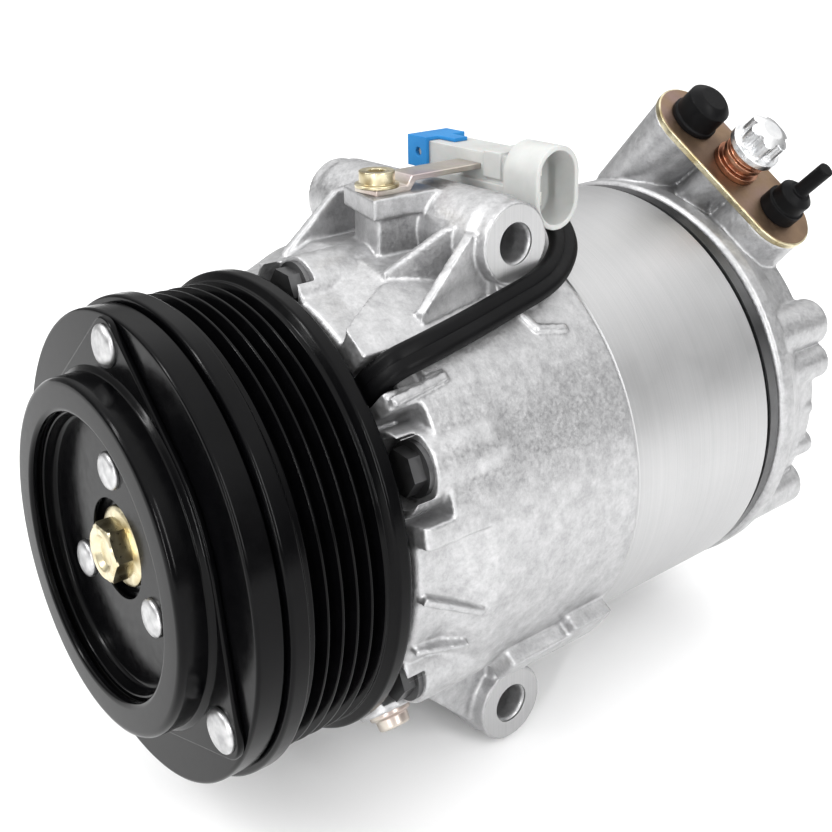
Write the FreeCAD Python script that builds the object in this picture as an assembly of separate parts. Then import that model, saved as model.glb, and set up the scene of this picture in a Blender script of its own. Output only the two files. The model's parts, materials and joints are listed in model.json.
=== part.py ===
"""Automotive air-conditioning compressor: six-cylinder variable swash-plate type with magnetic clutch.

Frame: origin on the shaft axis in the middle plane of the five-rib belt run. +Y runs from the clutch
to the rear head, +Z is up, and the two mounting bores run along X. Millimetres.
"""
import FreeCAD, Part
import os
from math import cos, radians, sin, sqrt, tan

V = FreeCAD.Vector
X, Y, Z = V(1, 0, 0), V(0, 1, 0), V(0, 0, 1)
ORIGIN = V(0, 0, 0)

# --- driving dimensions -------------------------------------------------------------------
RIB_PITCH = 3.56            # PK belt profile
RIB_COUNT = 5
RIB_CREST_R = 52.5
RIB_DEPTH = 3.3
FLANGE_R = 54.2             # pulley's two edge flanges
PULLEY_FRONT = -15.1
PULLEY_REAR = 14.4
AIR_GAP = 0.5               # between armature and pulley
ARMATURE_THICK = 6.2
ARMATURE_R = 52.7
CUP_R = 39.4
CUP_FRONT = -30.7
CUP_BORE_R = 31.85
OUTER_RIVET_R = 46.4
INNER_RIVET_R = 18.5
RIVET_ANGLES = (90, 210, 330)

BODY_R = 57.0
HOUSING_FRONT = 16.5
CASE_SEAM = 80.6            # front housing meets cylinder block
BLOCK_REAR = 132.6
HEAD_FRONT = 137.4
HEAD_REAR = 163.0
CHAMBER_R = 46.0            # crank chamber
CHAMBER_FRONT = 29.0
BORE_START = 101.0

BOLT_CIRCLE_R = 51.0        # six through bolts
BOLT_ANGLES = [25 + 60 * i for i in range(6)]
BOLT_R = 3.0

BOSS_Y = 61.1               # transverse mounting bosses
BOSS_Z = 60.0
BOSS_HALF = 34.5
BOSS_R = 9.7
MOUNT_BORE_R = 4.5

SHAFT_R = 8.0
CYLINDER_R = 14.5
PISTON_PITCH_R = 33.5
PISTON_ANGLES = [-5 + 60 * i for i in range(6)]
PLATE_MID = 88.0            # swash plate's middle plane at zero tilt
PLATE_HALF = 3.2
PLATE_R = 40.0
TILT_MAX = 15.0             # degrees
SHOE_SPHERE_R = 8.5
SHOE_R = 6.2
SHOE_GAP = 0.15
RUNNING = 0.05              # radial clearance of running fits

PORT_NORMAL_ANGLE = 44.0    # the port face looks up and out by this angle from +X
PORT_CENTRE = V(25.2, 153.5, 64.0)
PORT_SKEW = 16.3            # degrees the plate's long axis leans off the plane square to the shaft
PORT_HALF_SPACING = 17.0
PORT_PLATE_HALF = 28.2
PORT_PLATE_END_R = 11.3
PORT_PLATE_THICK = 2.2
HIGH_CAP_R = 6.4
HIGH_CAP_HEIGHT = 9.8
PORT_BORE_R = {1: 5.8, -1: 4.9}     # upper and lower port
PLUG_FIT = 0.2
COLLAR_HEIGHT = 7.6

LEAD_R = 3.0
CONNECTOR_Y = 77.1
CONNECTOR_Z = 70.0
SCREW_X = 6.8
SCREW_Y = 43.1
PAD_TOP = 70.0


# --- shape helpers ------------------------------------------------------------------------
def lathe(points):
    """Solid of revolution about the shaft axis from (radius, y) corners."""
    corners = [V(r, y, 0) for r, y in points]
    face = Part.Face(Part.makePolygon(corners + corners[:1]))
    return face.revolve(ORIGIN, Y, 360)


def ring(r_in, r_out, y0, y1):
    return lathe([(r_in, y0), (r_out, y0), (r_out, y1), (r_in, y1)])


def disc(r, y0, y1):
    return Part.makeCylinder(r, y1 - y0, V(0, y0, 0), Y)


def rod(r, start, end):
    return Part.makeCylinder(r, (end - start).Length, start, end - start)


def polar(r, degrees, y):
    a = radians(degrees)
    return V(r * cos(a), y, r * sin(a))


def box(x0, x1, y0, y1, z0, z1):
    return Part.makeBox(x1 - x0, y1 - y0, z1 - z0, V(x0, y0, z0))


def prism(points, direction):
    """Straight extrusion of a flat polygon given by its corners."""
    return Part.Face(Part.makePolygon(points + points[:1])).extrude(direction)


def hexagon(across_flats, height, base, axis):
    """Hexagonal prism standing on base along axis."""
    side = axis.cross(Z if abs(axis.z) < 0.9 else X)
    side.normalize()
    other = axis.cross(side)
    corner_r = across_flats / sqrt(3)
    points = []
    for i in range(6):
        a = radians(60 * i + 30)
        points.append(base + side * (corner_r * cos(a)) + other * (corner_r * sin(a)))
    return prism(points, axis * height)


def stadium(half_length, end_r, thickness, centre, long_axis, normal):
    """Plate with round ends: centre is on its lower face, thickness grows along normal."""
    long_axis = V(long_axis)
    long_axis.normalize()
    across = normal.cross(long_axis)
    reach = half_length - end_r
    a, b = centre + long_axis * reach, centre - long_axis * reach
    p = [a + across * end_r, a + long_axis * end_r, a - across * end_r,
         b - across * end_r, b - long_axis * end_r, b + across * end_r]
    edges = [Part.Arc(p[0], p[1], p[2]).toShape(), Part.makeLine(p[2], p[3]),
             Part.Arc(p[3], p[4], p[5]).toShape(), Part.makeLine(p[5], p[0])]
    return Part.Face(Part.Wire(edges)).extrude(normal * thickness)


def fused(shapes):
    first, rest = shapes[0], shapes[1:]
    return first.fuse(rest).removeSplitter()


def around(shape, angles):
    """Copies of a shape drawn at angle 0, turned about the shaft to each angle."""
    copies = []
    for angle in angles:
        copy = shape.copy()
        copy.rotate(ORIGIN, Y, -angle)
        copies.append(copy)
    return copies


def sector(corners, start_angle, end_angle):
    """Slice of a lathe shape between two angles about the shaft."""
    points = [V(r, y, 0) for r, y in corners]
    face = Part.Face(Part.makePolygon(points + points[:1]))
    face.rotate(ORIGIN, Y, -start_angle)
    return face.revolve(ORIGIN, Y, start_angle - end_angle)


def snap_ring(r_in, r_out, y0, y1, gap_angle, gap):
    """Flat retaining ring with a gap."""
    opening = box(0, r_out + 1, y0 - 1, y1 + 1, -gap / 2, gap / 2)
    opening.rotate(ORIGIN, Y, -gap_angle)
    return ring(r_in, r_out, y0, y1).cut(opening)


# --- clutch -------------------------------------------------------------------------------
def make_pulley():
    """Ribbed rim, friction face and hub in one turned piece, open at the rear for the coil."""
    first_rib = -RIB_PITCH * RIB_COUNT / 2
    root_r = RIB_CREST_R - RIB_DEPTH
    half_mouth = RIB_PITCH / 2 - 0.25
    half_root = half_mouth - RIB_DEPTH * tan(radians(20))
    outline = [(26.0, PULLEY_FRONT + 2.2), (24.6, PULLEY_FRONT + 2.2), (24.6, PULLEY_FRONT),
               (FLANGE_R - 0.9, PULLEY_FRONT), (FLANGE_R, PULLEY_FRONT + 0.9),
               (FLANGE_R, first_rib - 1.9), (RIB_CREST_R, first_rib - 1.0)]
    for i in range(RIB_COUNT):
        middle = first_rib + RIB_PITCH * (i + 0.5)
        outline += [(RIB_CREST_R, middle - half_mouth), (root_r, middle - half_root),
                    (root_r, middle + half_root), (RIB_CREST_R, middle + half_mouth)]
    last_rib = -first_rib
    outline += [(RIB_CREST_R, last_rib + 0.7), (FLANGE_R + 0.3, last_rib + 1.8),
                (FLANGE_R + 0.3, PULLEY_REAR - 1.2), (FLANGE_R - 0.9, PULLEY_REAR),
                (46.6, PULLEY_REAR), (46.6, PULLEY_FRONT + 5.0), (30.3, PULLEY_FRONT + 5.0),
                (30.3, 8.0), (26.0, 8.0)]
    body = lathe(outline)
    slot = ring(38.6, 40.4, PULLEY_FRONT - 1, PULLEY_FRONT + 6)
    bridges = around(box(30, 45, PULLEY_FRONT - 2, PULLEY_FRONT + 7, -3.5, 3.5), range(0, 360, 60))
    return body.cut(slot.cut(Part.makeCompound(bridges)))


BALL_PITCH_R = 21.75
BALL_R = 2.7
BALL_ROWS = (-7.6, 1.2)
BEARING_FRONT = PULLEY_FRONT + 2.2
BEARING_REAR = 7.1


def ball_groove(y):
    return Part.makeTorus(BALL_PITCH_R, BALL_R + 0.06, V(0, y, 0), Y)


def make_race(r_in, r_out):
    race = ring(r_in, r_out, BEARING_FRONT, BEARING_REAR)
    return race.cut(Part.makeCompound([ball_groove(y) for y in BALL_ROWS]))


def make_bearing_balls():
    """Two rows of balls, each row in its cage ring."""
    pieces = []
    angles = [30 * i for i in range(12)]
    for y in BALL_ROWS:
        pocket = rod(BALL_R + 0.1, V(19.0, y, 0), V(24.0, y, 0))
        cage = ring(21.1, 22.4, y - 3.4, y + 3.4)
        pieces.append(cage.cut(Part.makeCompound(around(pocket, angles))))
        half_section = Part.Face(Part.Wire([
            Part.Arc(V(BALL_PITCH_R, y - BALL_R, 0), V(BALL_PITCH_R + BALL_R, y, 0),
                     V(BALL_PITCH_R, y + BALL_R, 0)).toShape(),
            Part.makeLine(V(BALL_PITCH_R, y + BALL_R, 0), V(BALL_PITCH_R, y - BALL_R, 0))]))
        pieces += around(half_section.revolve(V(BALL_PITCH_R, y, 0), Y, 360), angles)
    return Part.makeCompound(pieces)


ARMATURE_REAR = PULLEY_FRONT - AIR_GAP
ARMATURE_FRONT = ARMATURE_REAR - ARMATURE_THICK
CUP_FLANGE = 1.6


def make_armature():
    plate = lathe([(24.6, ARMATURE_FRONT), (ARMATURE_R - 0.8, ARMATURE_FRONT),
                   (ARMATURE_R, ARMATURE_FRONT + 0.8), (ARMATURE_R, ARMATURE_REAR),
                   (24.6, ARMATURE_REAR)])
    holes = around(rod(2.5, V(OUTER_RIVET_R, ARMATURE_FRONT - 1, 0),
                       V(OUTER_RIVET_R, ARMATURE_REAR + 1, 0)), RIVET_ANGLES)
    arc = ring(35.2, 36.8, ARMATURE_FRONT - 1, ARMATURE_REAR + 1)
    bridges = around(box(30, 45, ARMATURE_FRONT - 2, ARMATURE_REAR + 2, -6, 6), RIVET_ANGLES)
    return plate.cut(Part.makeCompound(holes + [arc.cut(Part.makeCompound(bridges))]))


def make_hub_cup():
    """Pressed steel cup with a lobe for each outer rivet and a lip turned in at the front."""
    flange_front = ARMATURE_FRONT - CUP_FLANGE
    cup = lathe([(34.0, flange_front), (37.6, flange_front), (37.6, CUP_FRONT + 1.8),
                 (CUP_BORE_R, CUP_FRONT + 1.8), (CUP_BORE_R, CUP_FRONT + 0.7),
                 (CUP_BORE_R + 0.7, CUP_FRONT), (CUP_R - 1.2, CUP_FRONT), (CUP_R, CUP_FRONT + 1.2),
                 (CUP_R, flange_front), (CUP_R + 1.4, flange_front), (CUP_R + 1.4, ARMATURE_FRONT),
                 (34.0, ARMATURE_FRONT)])
    lobe_tip = rod(6.2, V(OUTER_RIVET_R, flange_front, 0), V(OUTER_RIVET_R, ARMATURE_FRONT, 0))
    corners = [V(36, flange_front, -17), V(OUTER_RIVET_R + 1, flange_front, -6.1),
               V(OUTER_RIVET_R + 1, flange_front, 6.1), V(36, flange_front, 17)]
    lobe_root = prism(corners, Y * CUP_FLANGE).cut(disc(37.7, flange_front - 1, ARMATURE_FRONT + 1))
    lobes = around(fused([lobe_tip, lobe_root]), RIVET_ANGLES)
    holes = around(rod(2.5, V(OUTER_RIVET_R, flange_front - 1, 0),
                       V(OUTER_RIVET_R, ARMATURE_FRONT + 1, 0)), RIVET_ANGLES)
    return fused([cup] + lobes).cut(Part.makeCompound(holes))


def make_rivet(r, shank_r, y_under_head, head_height, y_tail):
    """Rivet with a low domed head towards the front."""
    bulge_r = (r * r + head_height * head_height) / (2 * head_height)
    dome = Part.makeSphere(bulge_r, V(0, y_under_head - head_height + bulge_r, 0))
    head = dome.common(disc(r - 0.2, y_under_head - head_height - 1, y_under_head))
    return fused([head, disc(shank_r, y_under_head, y_tail)])


def make_outer_rivets():
    rivet = make_rivet(4.9, 2.5, ARMATURE_FRONT - CUP_FLANGE, 2.0, ARMATURE_REAR - 0.6)
    rivet.translate(V(OUTER_RIVET_R, 0, 0))
    return Part.makeCompound(around(rivet, RIVET_ANGLES))


HUB_PLATE_FRONT = -24.7
HUB_FLANGE_FRONT = -23.2
HUB_FLANGE_REAR = -20.9
SHAFT_TIP = -20.5


def make_hub_plate():
    """Dished inner plate: the rubber is bonded to its rim, the rivets hold it to the hub."""
    dish = lathe([(11.3, HUB_PLATE_FRONT), (31.0, HUB_PLATE_FRONT), (31.0, CUP_FRONT + 2.7),
                  (32.4, CUP_FRONT + 2.7), (32.4, HUB_FLANGE_FRONT), (11.3, HUB_FLANGE_FRONT)])
    hole = rod(2.3, V(INNER_RIVET_R, HUB_PLATE_FRONT - 1, 0), V(INNER_RIVET_R, HUB_FLANGE_FRONT + 1, 0))
    return dish.cut(Part.makeCompound(around(hole, RIVET_ANGLES)))


def make_damper_ring():
    return lathe([(32.4, CUP_FRONT + 2.5), (37.6, CUP_FRONT + 2.5), (37.6, -24.2), (32.4, -23.6)])


def make_clutch_hub():
    hub = lathe([(4.3, -22.4), (10.6, -22.4), (10.6, HUB_FLANGE_FRONT), (24.0, HUB_FLANGE_FRONT),
                 (24.0, HUB_FLANGE_REAR), (12.0, HUB_FLANGE_REAR), (10.8, -19.6), (10.8, -15.6),
                 (7.0, -15.6), (7.0, SHAFT_TIP), (4.3, SHAFT_TIP)])
    hole = rod(2.3, V(INNER_RIVET_R, -30, 0), V(INNER_RIVET_R, -10, 0))
    return hub.cut(Part.makeCompound(around(hole, RIVET_ANGLES)))


def make_inner_rivets():
    rivet = make_rivet(4.4, 2.3, HUB_PLATE_FRONT, 1.6, HUB_FLANGE_REAR - 0.2)
    rivet.translate(V(INNER_RIVET_R, 0, 0))
    return Part.makeCompound(around(rivet, RIVET_ANGLES))


def make_hub_bolt():
    """Hexagon flange bolt into the end of the shaft."""
    washer = disc(9.2, -23.6, -22.4)
    head = hexagon(12.0, 4.6, V(0, -23.6, 0), V(0, -1, 0))
    dish = disc(4.0, -29.0, -27.4)
    return fused([washer, head.cut(dish), disc(4.0, -22.4, -4.0)])


# --- field coil ---------------------------------------------------------------------------
COIL_FRONT = -9.4


def make_field_coil():
    """Steel channel ring on the housing nose; the winding is potted in it."""
    return lathe([(20.0, 14.0), (31.2, 14.0), (31.2, COIL_FRONT), (33.6, COIL_FRONT), (33.6, 12.0),
                  (43.2, 12.0), (43.2, COIL_FRONT), (45.7, COIL_FRONT), (45.7, HOUSING_FRONT),
                  (20.0, HOUSING_FRONT)])


def make_coil_winding():
    return ring(33.6, 43.2, COIL_FRONT + 1.0, 12.0)


def make_snap_rings():
    """One ring holds the pulley bearing on the nose, the other holds the coil."""
    bearing_ring = snap_ring(16.3, 20.0, BEARING_FRONT - 1.3, BEARING_FRONT, 40, 6)
    coil_ring = snap_ring(18.9, 23.0, 12.7, 14.0, 220, 7)
    return Part.makeCompound([bearing_ring, coil_ring])


# --- front housing ------------------------------------------------------------------------
def transverse_boss(z):
    """Mounting boss across the body: machined ends on a cast tube, webs and a saddle under it."""
    side = 1 if z > 0 else -1
    tube = rod(BOSS_R, V(-BOSS_HALF, BOSS_Y, z), V(BOSS_HALF, BOSS_Y, z))
    cast = rod(CAST_R, V(-CAST_HALF + 2, BOSS_Y, z), V(CAST_HALF - 2, BOSS_Y, z))
    shoulders = [Part.makeCone(CAST_R, BOSS_R, 2.5, V(end * (CAST_HALF - 2), BOSS_Y, z), X * end)
                 for end in (-1, 1)]
    low, high = sorted((side * 40.0, z))
    block = box(-CAST_HALF, CAST_HALF, BOSS_Y - 7.5, BOSS_Y + 7.5, low, high)
    skirts = []
    for end in (-1, 1):
        corners = [V(end * 29, BOSS_Y - 5, z + side * 3), V(end * 29, BOSS_Y - 5, side * 44),
                   V(end * 36, BOSS_Y - 5, side * 44)]
        skirts.append(prism(corners, Y * 10))
    return [tube, cast, block] + shoulders + skirts


def boss_webs():
    """Gussets running forward from the two bosses to the front of the body."""
    lower = [(34.0, -44.0), (35.5, -48.0), (51.5, -63.5), (54.5, -67.5), (BOSS_Y, -66.0), (BOSS_Y, -44.0)]
    upper = [(26.0, 48.0), (28.4, 54.0), (44.0, 67.3), (53.0, 68.5), (BOSS_Y, 64.0), (BOSS_Y, 48.0)]
    webs = []
    for x, thickness, outline in ((CAST_HALF - 5.0, 5.0, lower), (-CAST_HALF, 5.0, lower),
                                  (-13.2, 2.6, upper)):
        webs.append(prism([V(x, y, z) for y, z in outline], X * thickness))
    return webs


def slanted_web(low, high, thickness):
    """Web whose ridge climbs from the body at low to a boss at high; its root lies inside the body."""
    across = (high - low).cross(Z)
    across.normalize()
    foot = [V(p.x * 0.8, p.y, p.z * 0.8) for p in (high, low)]
    corners = [low, high, V(high.x, high.y + 8, high.z), V(foot[0].x, high.y + 8, foot[0].z), foot[1]]
    flat = [p - across * ((p - low).dot(across) + thickness / 2) for p in corners]
    return prism(flat, across * thickness)


def rib(start, end, width, depth):
    """Rib that stands on the body along a line, its root sunk towards the shaft."""
    along = end - start
    out = V(start.x, 0, start.z) + V(end.x, 0, end.z)
    out.normalize()
    across = along.cross(out)
    across.normalize()
    corners = [start - across * (width / 2), start + across * (width / 2),
               end + across * (width / 2), end - across * (width / 2)]
    return prism(corners, out * -depth)


BOLT_HEAD_SEAT = 21.8
COUNTERBORE_R = 7.6
DRAIN_ANGLE = -52.0
DRAIN_Y = 22.6
LEAD_EXIT_ANGLE = 46.5
LEAD_EXIT_Y = 18.2
CAST_HALF = 30.5            # the bosses' cast part; the machined ends stand proud of it
CAST_R = 10.4
BORE_CHAMFER = 1.0
SHOULDER_R = 51.4           # housing's flat front face
NECK_R = 53.0
NECK_END = 33.5             # where the tapered neck meets the full body radius
PAD_FLANGE = 5.0
PAD_BASE = 46.0
ROUTE_HALF = 4.2            # half width of the channel the lead leaves through


def raised_quarter():
    """The neck is built up to the full radius beside the lead, with a pocket for one bolt head."""
    slab = sector([(48, 16.7), (BODY_R - 0.8, 16.7), (BODY_R, 17.5), (BODY_R, 36), (48, 36)], 8, 58)
    plan = [(29.6, 16.7), (21.0, 32), (21.0, 36), (36, 36), (36, 16.7)]
    lean = prism([V(x, y, 40) for x, y in plan], Z * 16).common(disc(BODY_R, 16, 37))
    pocket = sector([(46, 15), (60, 15), (60, 24.6), (46, 24.6)], 13, 38)
    return slab.fuse(lean), pocket


def connector_pad():
    flange = [(-5.5, 42.2), (13.2, 37.2), (13.6, 56.5), (-5.5, 56.5)]
    stand = [(-4.0, 44.2), (4.5, 41.0), (11.6, 39.6), (11.8, 56.0), (-4.0, 56.0)]
    return [prism([V(x, y, PAD_TOP - PAD_FLANGE) for x, y in flange], Z * PAD_FLANGE),
            prism([V(x, y, PAD_BASE) for x, y in stand], Z * (PAD_TOP - PAD_BASE))]


def body_ribs():
    """Ribs and small raised pads on the outside of the body."""
    return [slanted_web(polar(58.6, 56.6, 34.4), V(30.2, 50.5, 63.4), 2.6),
            slanted_web(polar(58.0, 71.0, 35.0), V(23.1, 49.5, 63.6), 2.2),
            rib(polar(58.2, 39.4, 17.2), polar(58.2, 41.6, 33.0), 2.2, 6),
            rib(polar(54.6, -5.0, 17.5), polar(57.2, -13.0, 33.0), 1.8, 6),
            rib(polar(54.4, -20.0, 17.5), polar(57.0, -22.0, 31.0), 1.6, 6),
            rib(polar(58.2, 50.5, 60.8), polar(58.2, 45.3, 62.6), 1.8, 5),
            rib(polar(58.2, 45.6, 62.2), polar(57.9, 43.6, 71.0), 1.8, 5),
            sector([(50, 46.8), (61.2, 46.8), (61.2, 64.4), (50, 64.4)], -43, -34.5),
            sector([(50, 65.2), (61.2, 65.2), (61.2, 78.0), (50, 78.0)], -44, -31.5),
            box(-5, 1, 17.0, 25, 48, 55.5)]


def bolt_ears():
    ear = rod(9.4, V(48.8, HOUSING_FRONT, 0), V(48.8, 39.0, 0))
    tail = Part.makeCone(9.4, 6.0, 14.0, V(48.8, 39.0, 0), Y)
    return around(ear.fuse(tail), BOLT_ANGLES)


def front_housing_cuts():
    """Crank chamber, shaft bore, ring grooves, bolt holes, mounting bores and the lead's channel."""
    cuts = [disc(CHAMBER_R, CHAMBER_FRONT, CASE_SEAM + 1),
            disc(CHAMBER_R + 1.25, CASE_SEAM - 1.2, CASE_SEAM + 1),
            disc(12.0, 17.0, CHAMBER_FRONT + 1), disc(9.0, -1.0, 18.0), disc(14.0, -16.0, 0.0),
            ring(14.0, 15.0, -10.6, -9.2), ring(16.3, 18.5, BEARING_FRONT - 1.3, BEARING_FRONT),
            ring(18.9, 21.0, 12.7, 14.0)]
    counterbore = rod(COUNTERBORE_R, V(BOLT_CIRCLE_R + 0.6, HOUSING_FRONT - 1, 0),
                      V(BOLT_CIRCLE_R + 0.6, BOLT_HEAD_SEAT, 0))
    clearance = rod(BOLT_R + 0.4, V(BOLT_CIRCLE_R, HOUSING_FRONT, 0), V(BOLT_CIRCLE_R, CASE_SEAM + 1, 0))
    cuts += around(counterbore, BOLT_ANGLES) + around(clearance, BOLT_ANGLES)
    for z in (BOSS_Z, -BOSS_Z):
        cuts.append(rod(MOUNT_BORE_R, V(-60, BOSS_Y, z), V(60, BOSS_Y, z)))
        for end in (-1, 1):
            mouth = V(end * (BOSS_HALF - BORE_CHAMFER), BOSS_Y, z)
            cuts.append(Part.makeCone(MOUNT_BORE_R, MOUNT_BORE_R + BORE_CHAMFER, BORE_CHAMFER, mouth,
                                      X * end))
    cuts.append(rod(2.0, V(SCREW_X, SCREW_Y, PAD_TOP - 9), V(SCREW_X, SCREW_Y, PAD_TOP + 1)))
    cuts.append(rod(2.5, polar(48, DRAIN_ANGLE, DRAIN_Y), polar(60, DRAIN_ANGLE, DRAIN_Y)))
    channel = [box(44, 66, HOUSING_FRONT - 1, LEAD_EXIT_Y + ROUTE_HALF, -ROUTE_HALF, ROUTE_HALF),
               box(54, 66, HOUSING_FRONT - 1, LEAD_EXIT_Y + 10, -ROUTE_HALF, ROUTE_HALF)]
    return cuts + around(Part.makeCompound(channel), [LEAD_EXIT_ANGLE])


def make_front_housing():
    shell = lathe([(0, -14.9), (17.5, -14.9), (17.5, BEARING_REAR), (20.0, BEARING_REAR),
                   (20.0, HOUSING_FRONT), (SHOULDER_R, HOUSING_FRONT), (NECK_R - 0.2, HOUSING_FRONT + 1.2),
                   (NECK_R, 25.0), (BODY_R - 0.8, NECK_END), (BODY_R, NECK_END + 2),
                   (BODY_R, CASE_SEAM - 0.5), (BODY_R - 0.5, CASE_SEAM), (0, CASE_SEAM)])
    quarter, pocket = raised_quarter()
    drain_lug = rod(7.0, polar(46, DRAIN_ANGLE, DRAIN_Y), polar(55.6, DRAIN_ANGLE, DRAIN_Y))
    body = shell.fuse(quarter).cut(pocket)
    body = body.fuse(bolt_ears() + transverse_boss(BOSS_Z) + transverse_boss(-BOSS_Z) + boss_webs()
                     + connector_pad() + body_ribs() + [drain_lug])
    return body.cut(front_housing_cuts())


def make_case_rings():
    """O-rings: case seam, and under the port plate around each port."""
    normal, long_axis = port_axes()
    rings = [Part.makeTorus(CHAMBER_R + 0.65, 0.55, V(0, CASE_SEAM - 0.6, 0), Y)]
    for side in (-1, 1):
        centre = PORT_CENTRE + long_axis * (side * PORT_HALF_SPACING) - normal * (PORT_PLATE_THICK + 1.0)
        rings.append(Part.makeTorus(8.3, 0.9, centre, normal))
    return Part.makeCompound(rings)


def make_through_bolts():
    bolts = []
    for angle in BOLT_ANGLES:
        seat = V(BOLT_CIRCLE_R, BOLT_HEAD_SEAT, 0)
        head = hexagon(9.0, 4.4, seat, V(0, -1, 0)).fuse(rod(6.2, seat, seat - Y * 1.3))
        shank = rod(BOLT_R, seat, V(BOLT_CIRCLE_R, 158.0, 0))
        bolts += around(head.fuse(shank).removeSplitter(), [angle])
    return Part.makeCompound(bolts)


# --- cylinder block and valve group -------------------------------------------------------
def ported(shape, hole_r, circle_r, angles, y0, y1):
    hole = rod(hole_r, V(circle_r, y0, 0), V(circle_r, y1, 0))
    return shape.cut(Part.makeCompound(around(hole, angles)))


def make_cylinder_block():
    block = lathe([(0, CASE_SEAM), (BODY_R - 0.9, CASE_SEAM), (BODY_R - 0.4, CASE_SEAM + 0.5),
                   (BODY_R - 0.4, BLOCK_REAR - 1.6), (BODY_R - 1.6, BLOCK_REAR - 0.6),
                   (BODY_R - 1.6, BLOCK_REAR), (0, BLOCK_REAR)])
    cuts = [disc(CHAMBER_R, CASE_SEAM - 1, BORE_START), disc(9.0, BORE_START - 1, 122.0),
            disc(12.0, BORE_START - 1, 113.0)]
    block = block.cut(cuts)
    block = ported(block, CYLINDER_R, PISTON_PITCH_R, PISTON_ANGLES, CASE_SEAM + 3, BLOCK_REAR + 1)
    return ported(block, BOLT_R + 0.4, BOLT_CIRCLE_R, BOLT_ANGLES, CASE_SEAM - 1, BLOCK_REAR + 1)


def head_disc(y0, y1, r_out):
    """Flat disc of the valve group with its six bolt holes."""
    return ported(disc(r_out, y0, y1), BOLT_R + 0.4, BOLT_CIRCLE_R, BOLT_ANGLES, y0 - 1, y1 + 1)


def make_head_gaskets():
    front = ported(head_disc(BLOCK_REAR, 133.0, 55.2), CYLINDER_R, PISTON_PITCH_R, PISTON_ANGLES, 132, 134)
    rear = head_disc(137.0, HEAD_FRONT, 55.2)
    rear = rear.cut([ring(26.0, 45.4, 136, 138), disc(21.5, 136, 138)])
    return Part.makeCompound([front] + rear.Solids)


def reed_star(y0, y1, ring_in, ring_out, tip_r, reach):
    """Ring with one tongue per cylinder; the tongues cover that side's ports."""
    tongues = []
    for angle in PISTON_ANGLES:
        tip = rod(tip_r, V(reach, y0, 0), V(reach, y1, 0))
        arm = box(min(ring_in, reach), max(ring_in, reach), y0, y1, -tip_r, tip_r)
        tongues += around(tip.fuse(arm), [angle])
    return fused([ring(ring_in, ring_out, y0, y1)] + tongues)


def make_valve_reeds():
    suction = reed_star(133.0, 133.3, 46.5, 48.0, 3.4, 37.5)
    discharge = reed_star(136.6, 137.0, 10.0, 14.0, 2.6, 26.6)
    return Part.makeCompound([suction, discharge])


def make_valve_plate():
    plate = head_disc(133.3, 136.6, 56.0)
    plate = ported(plate, 2.6, 38.0, PISTON_ANGLES, 133, 137)
    return ported(plate, 2.0, 26.0, PISTON_ANGLES, 133, 137)


# --- rear head ----------------------------------------------------------------------------
def port_axes():
    """The port face's normal, and the plate's long axis lying in that face."""
    a = radians(PORT_NORMAL_ANGLE)
    normal = V(cos(a), 0, sin(a))
    uphill = V(-sin(a), 0, cos(a))
    lean = radians(PORT_SKEW)
    return normal, uphill * cos(lean) - Y * sin(lean)


VALVE_X, VALVE_Z = -13.0, -30.0
RELIEF_ANGLE = 205.0


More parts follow.
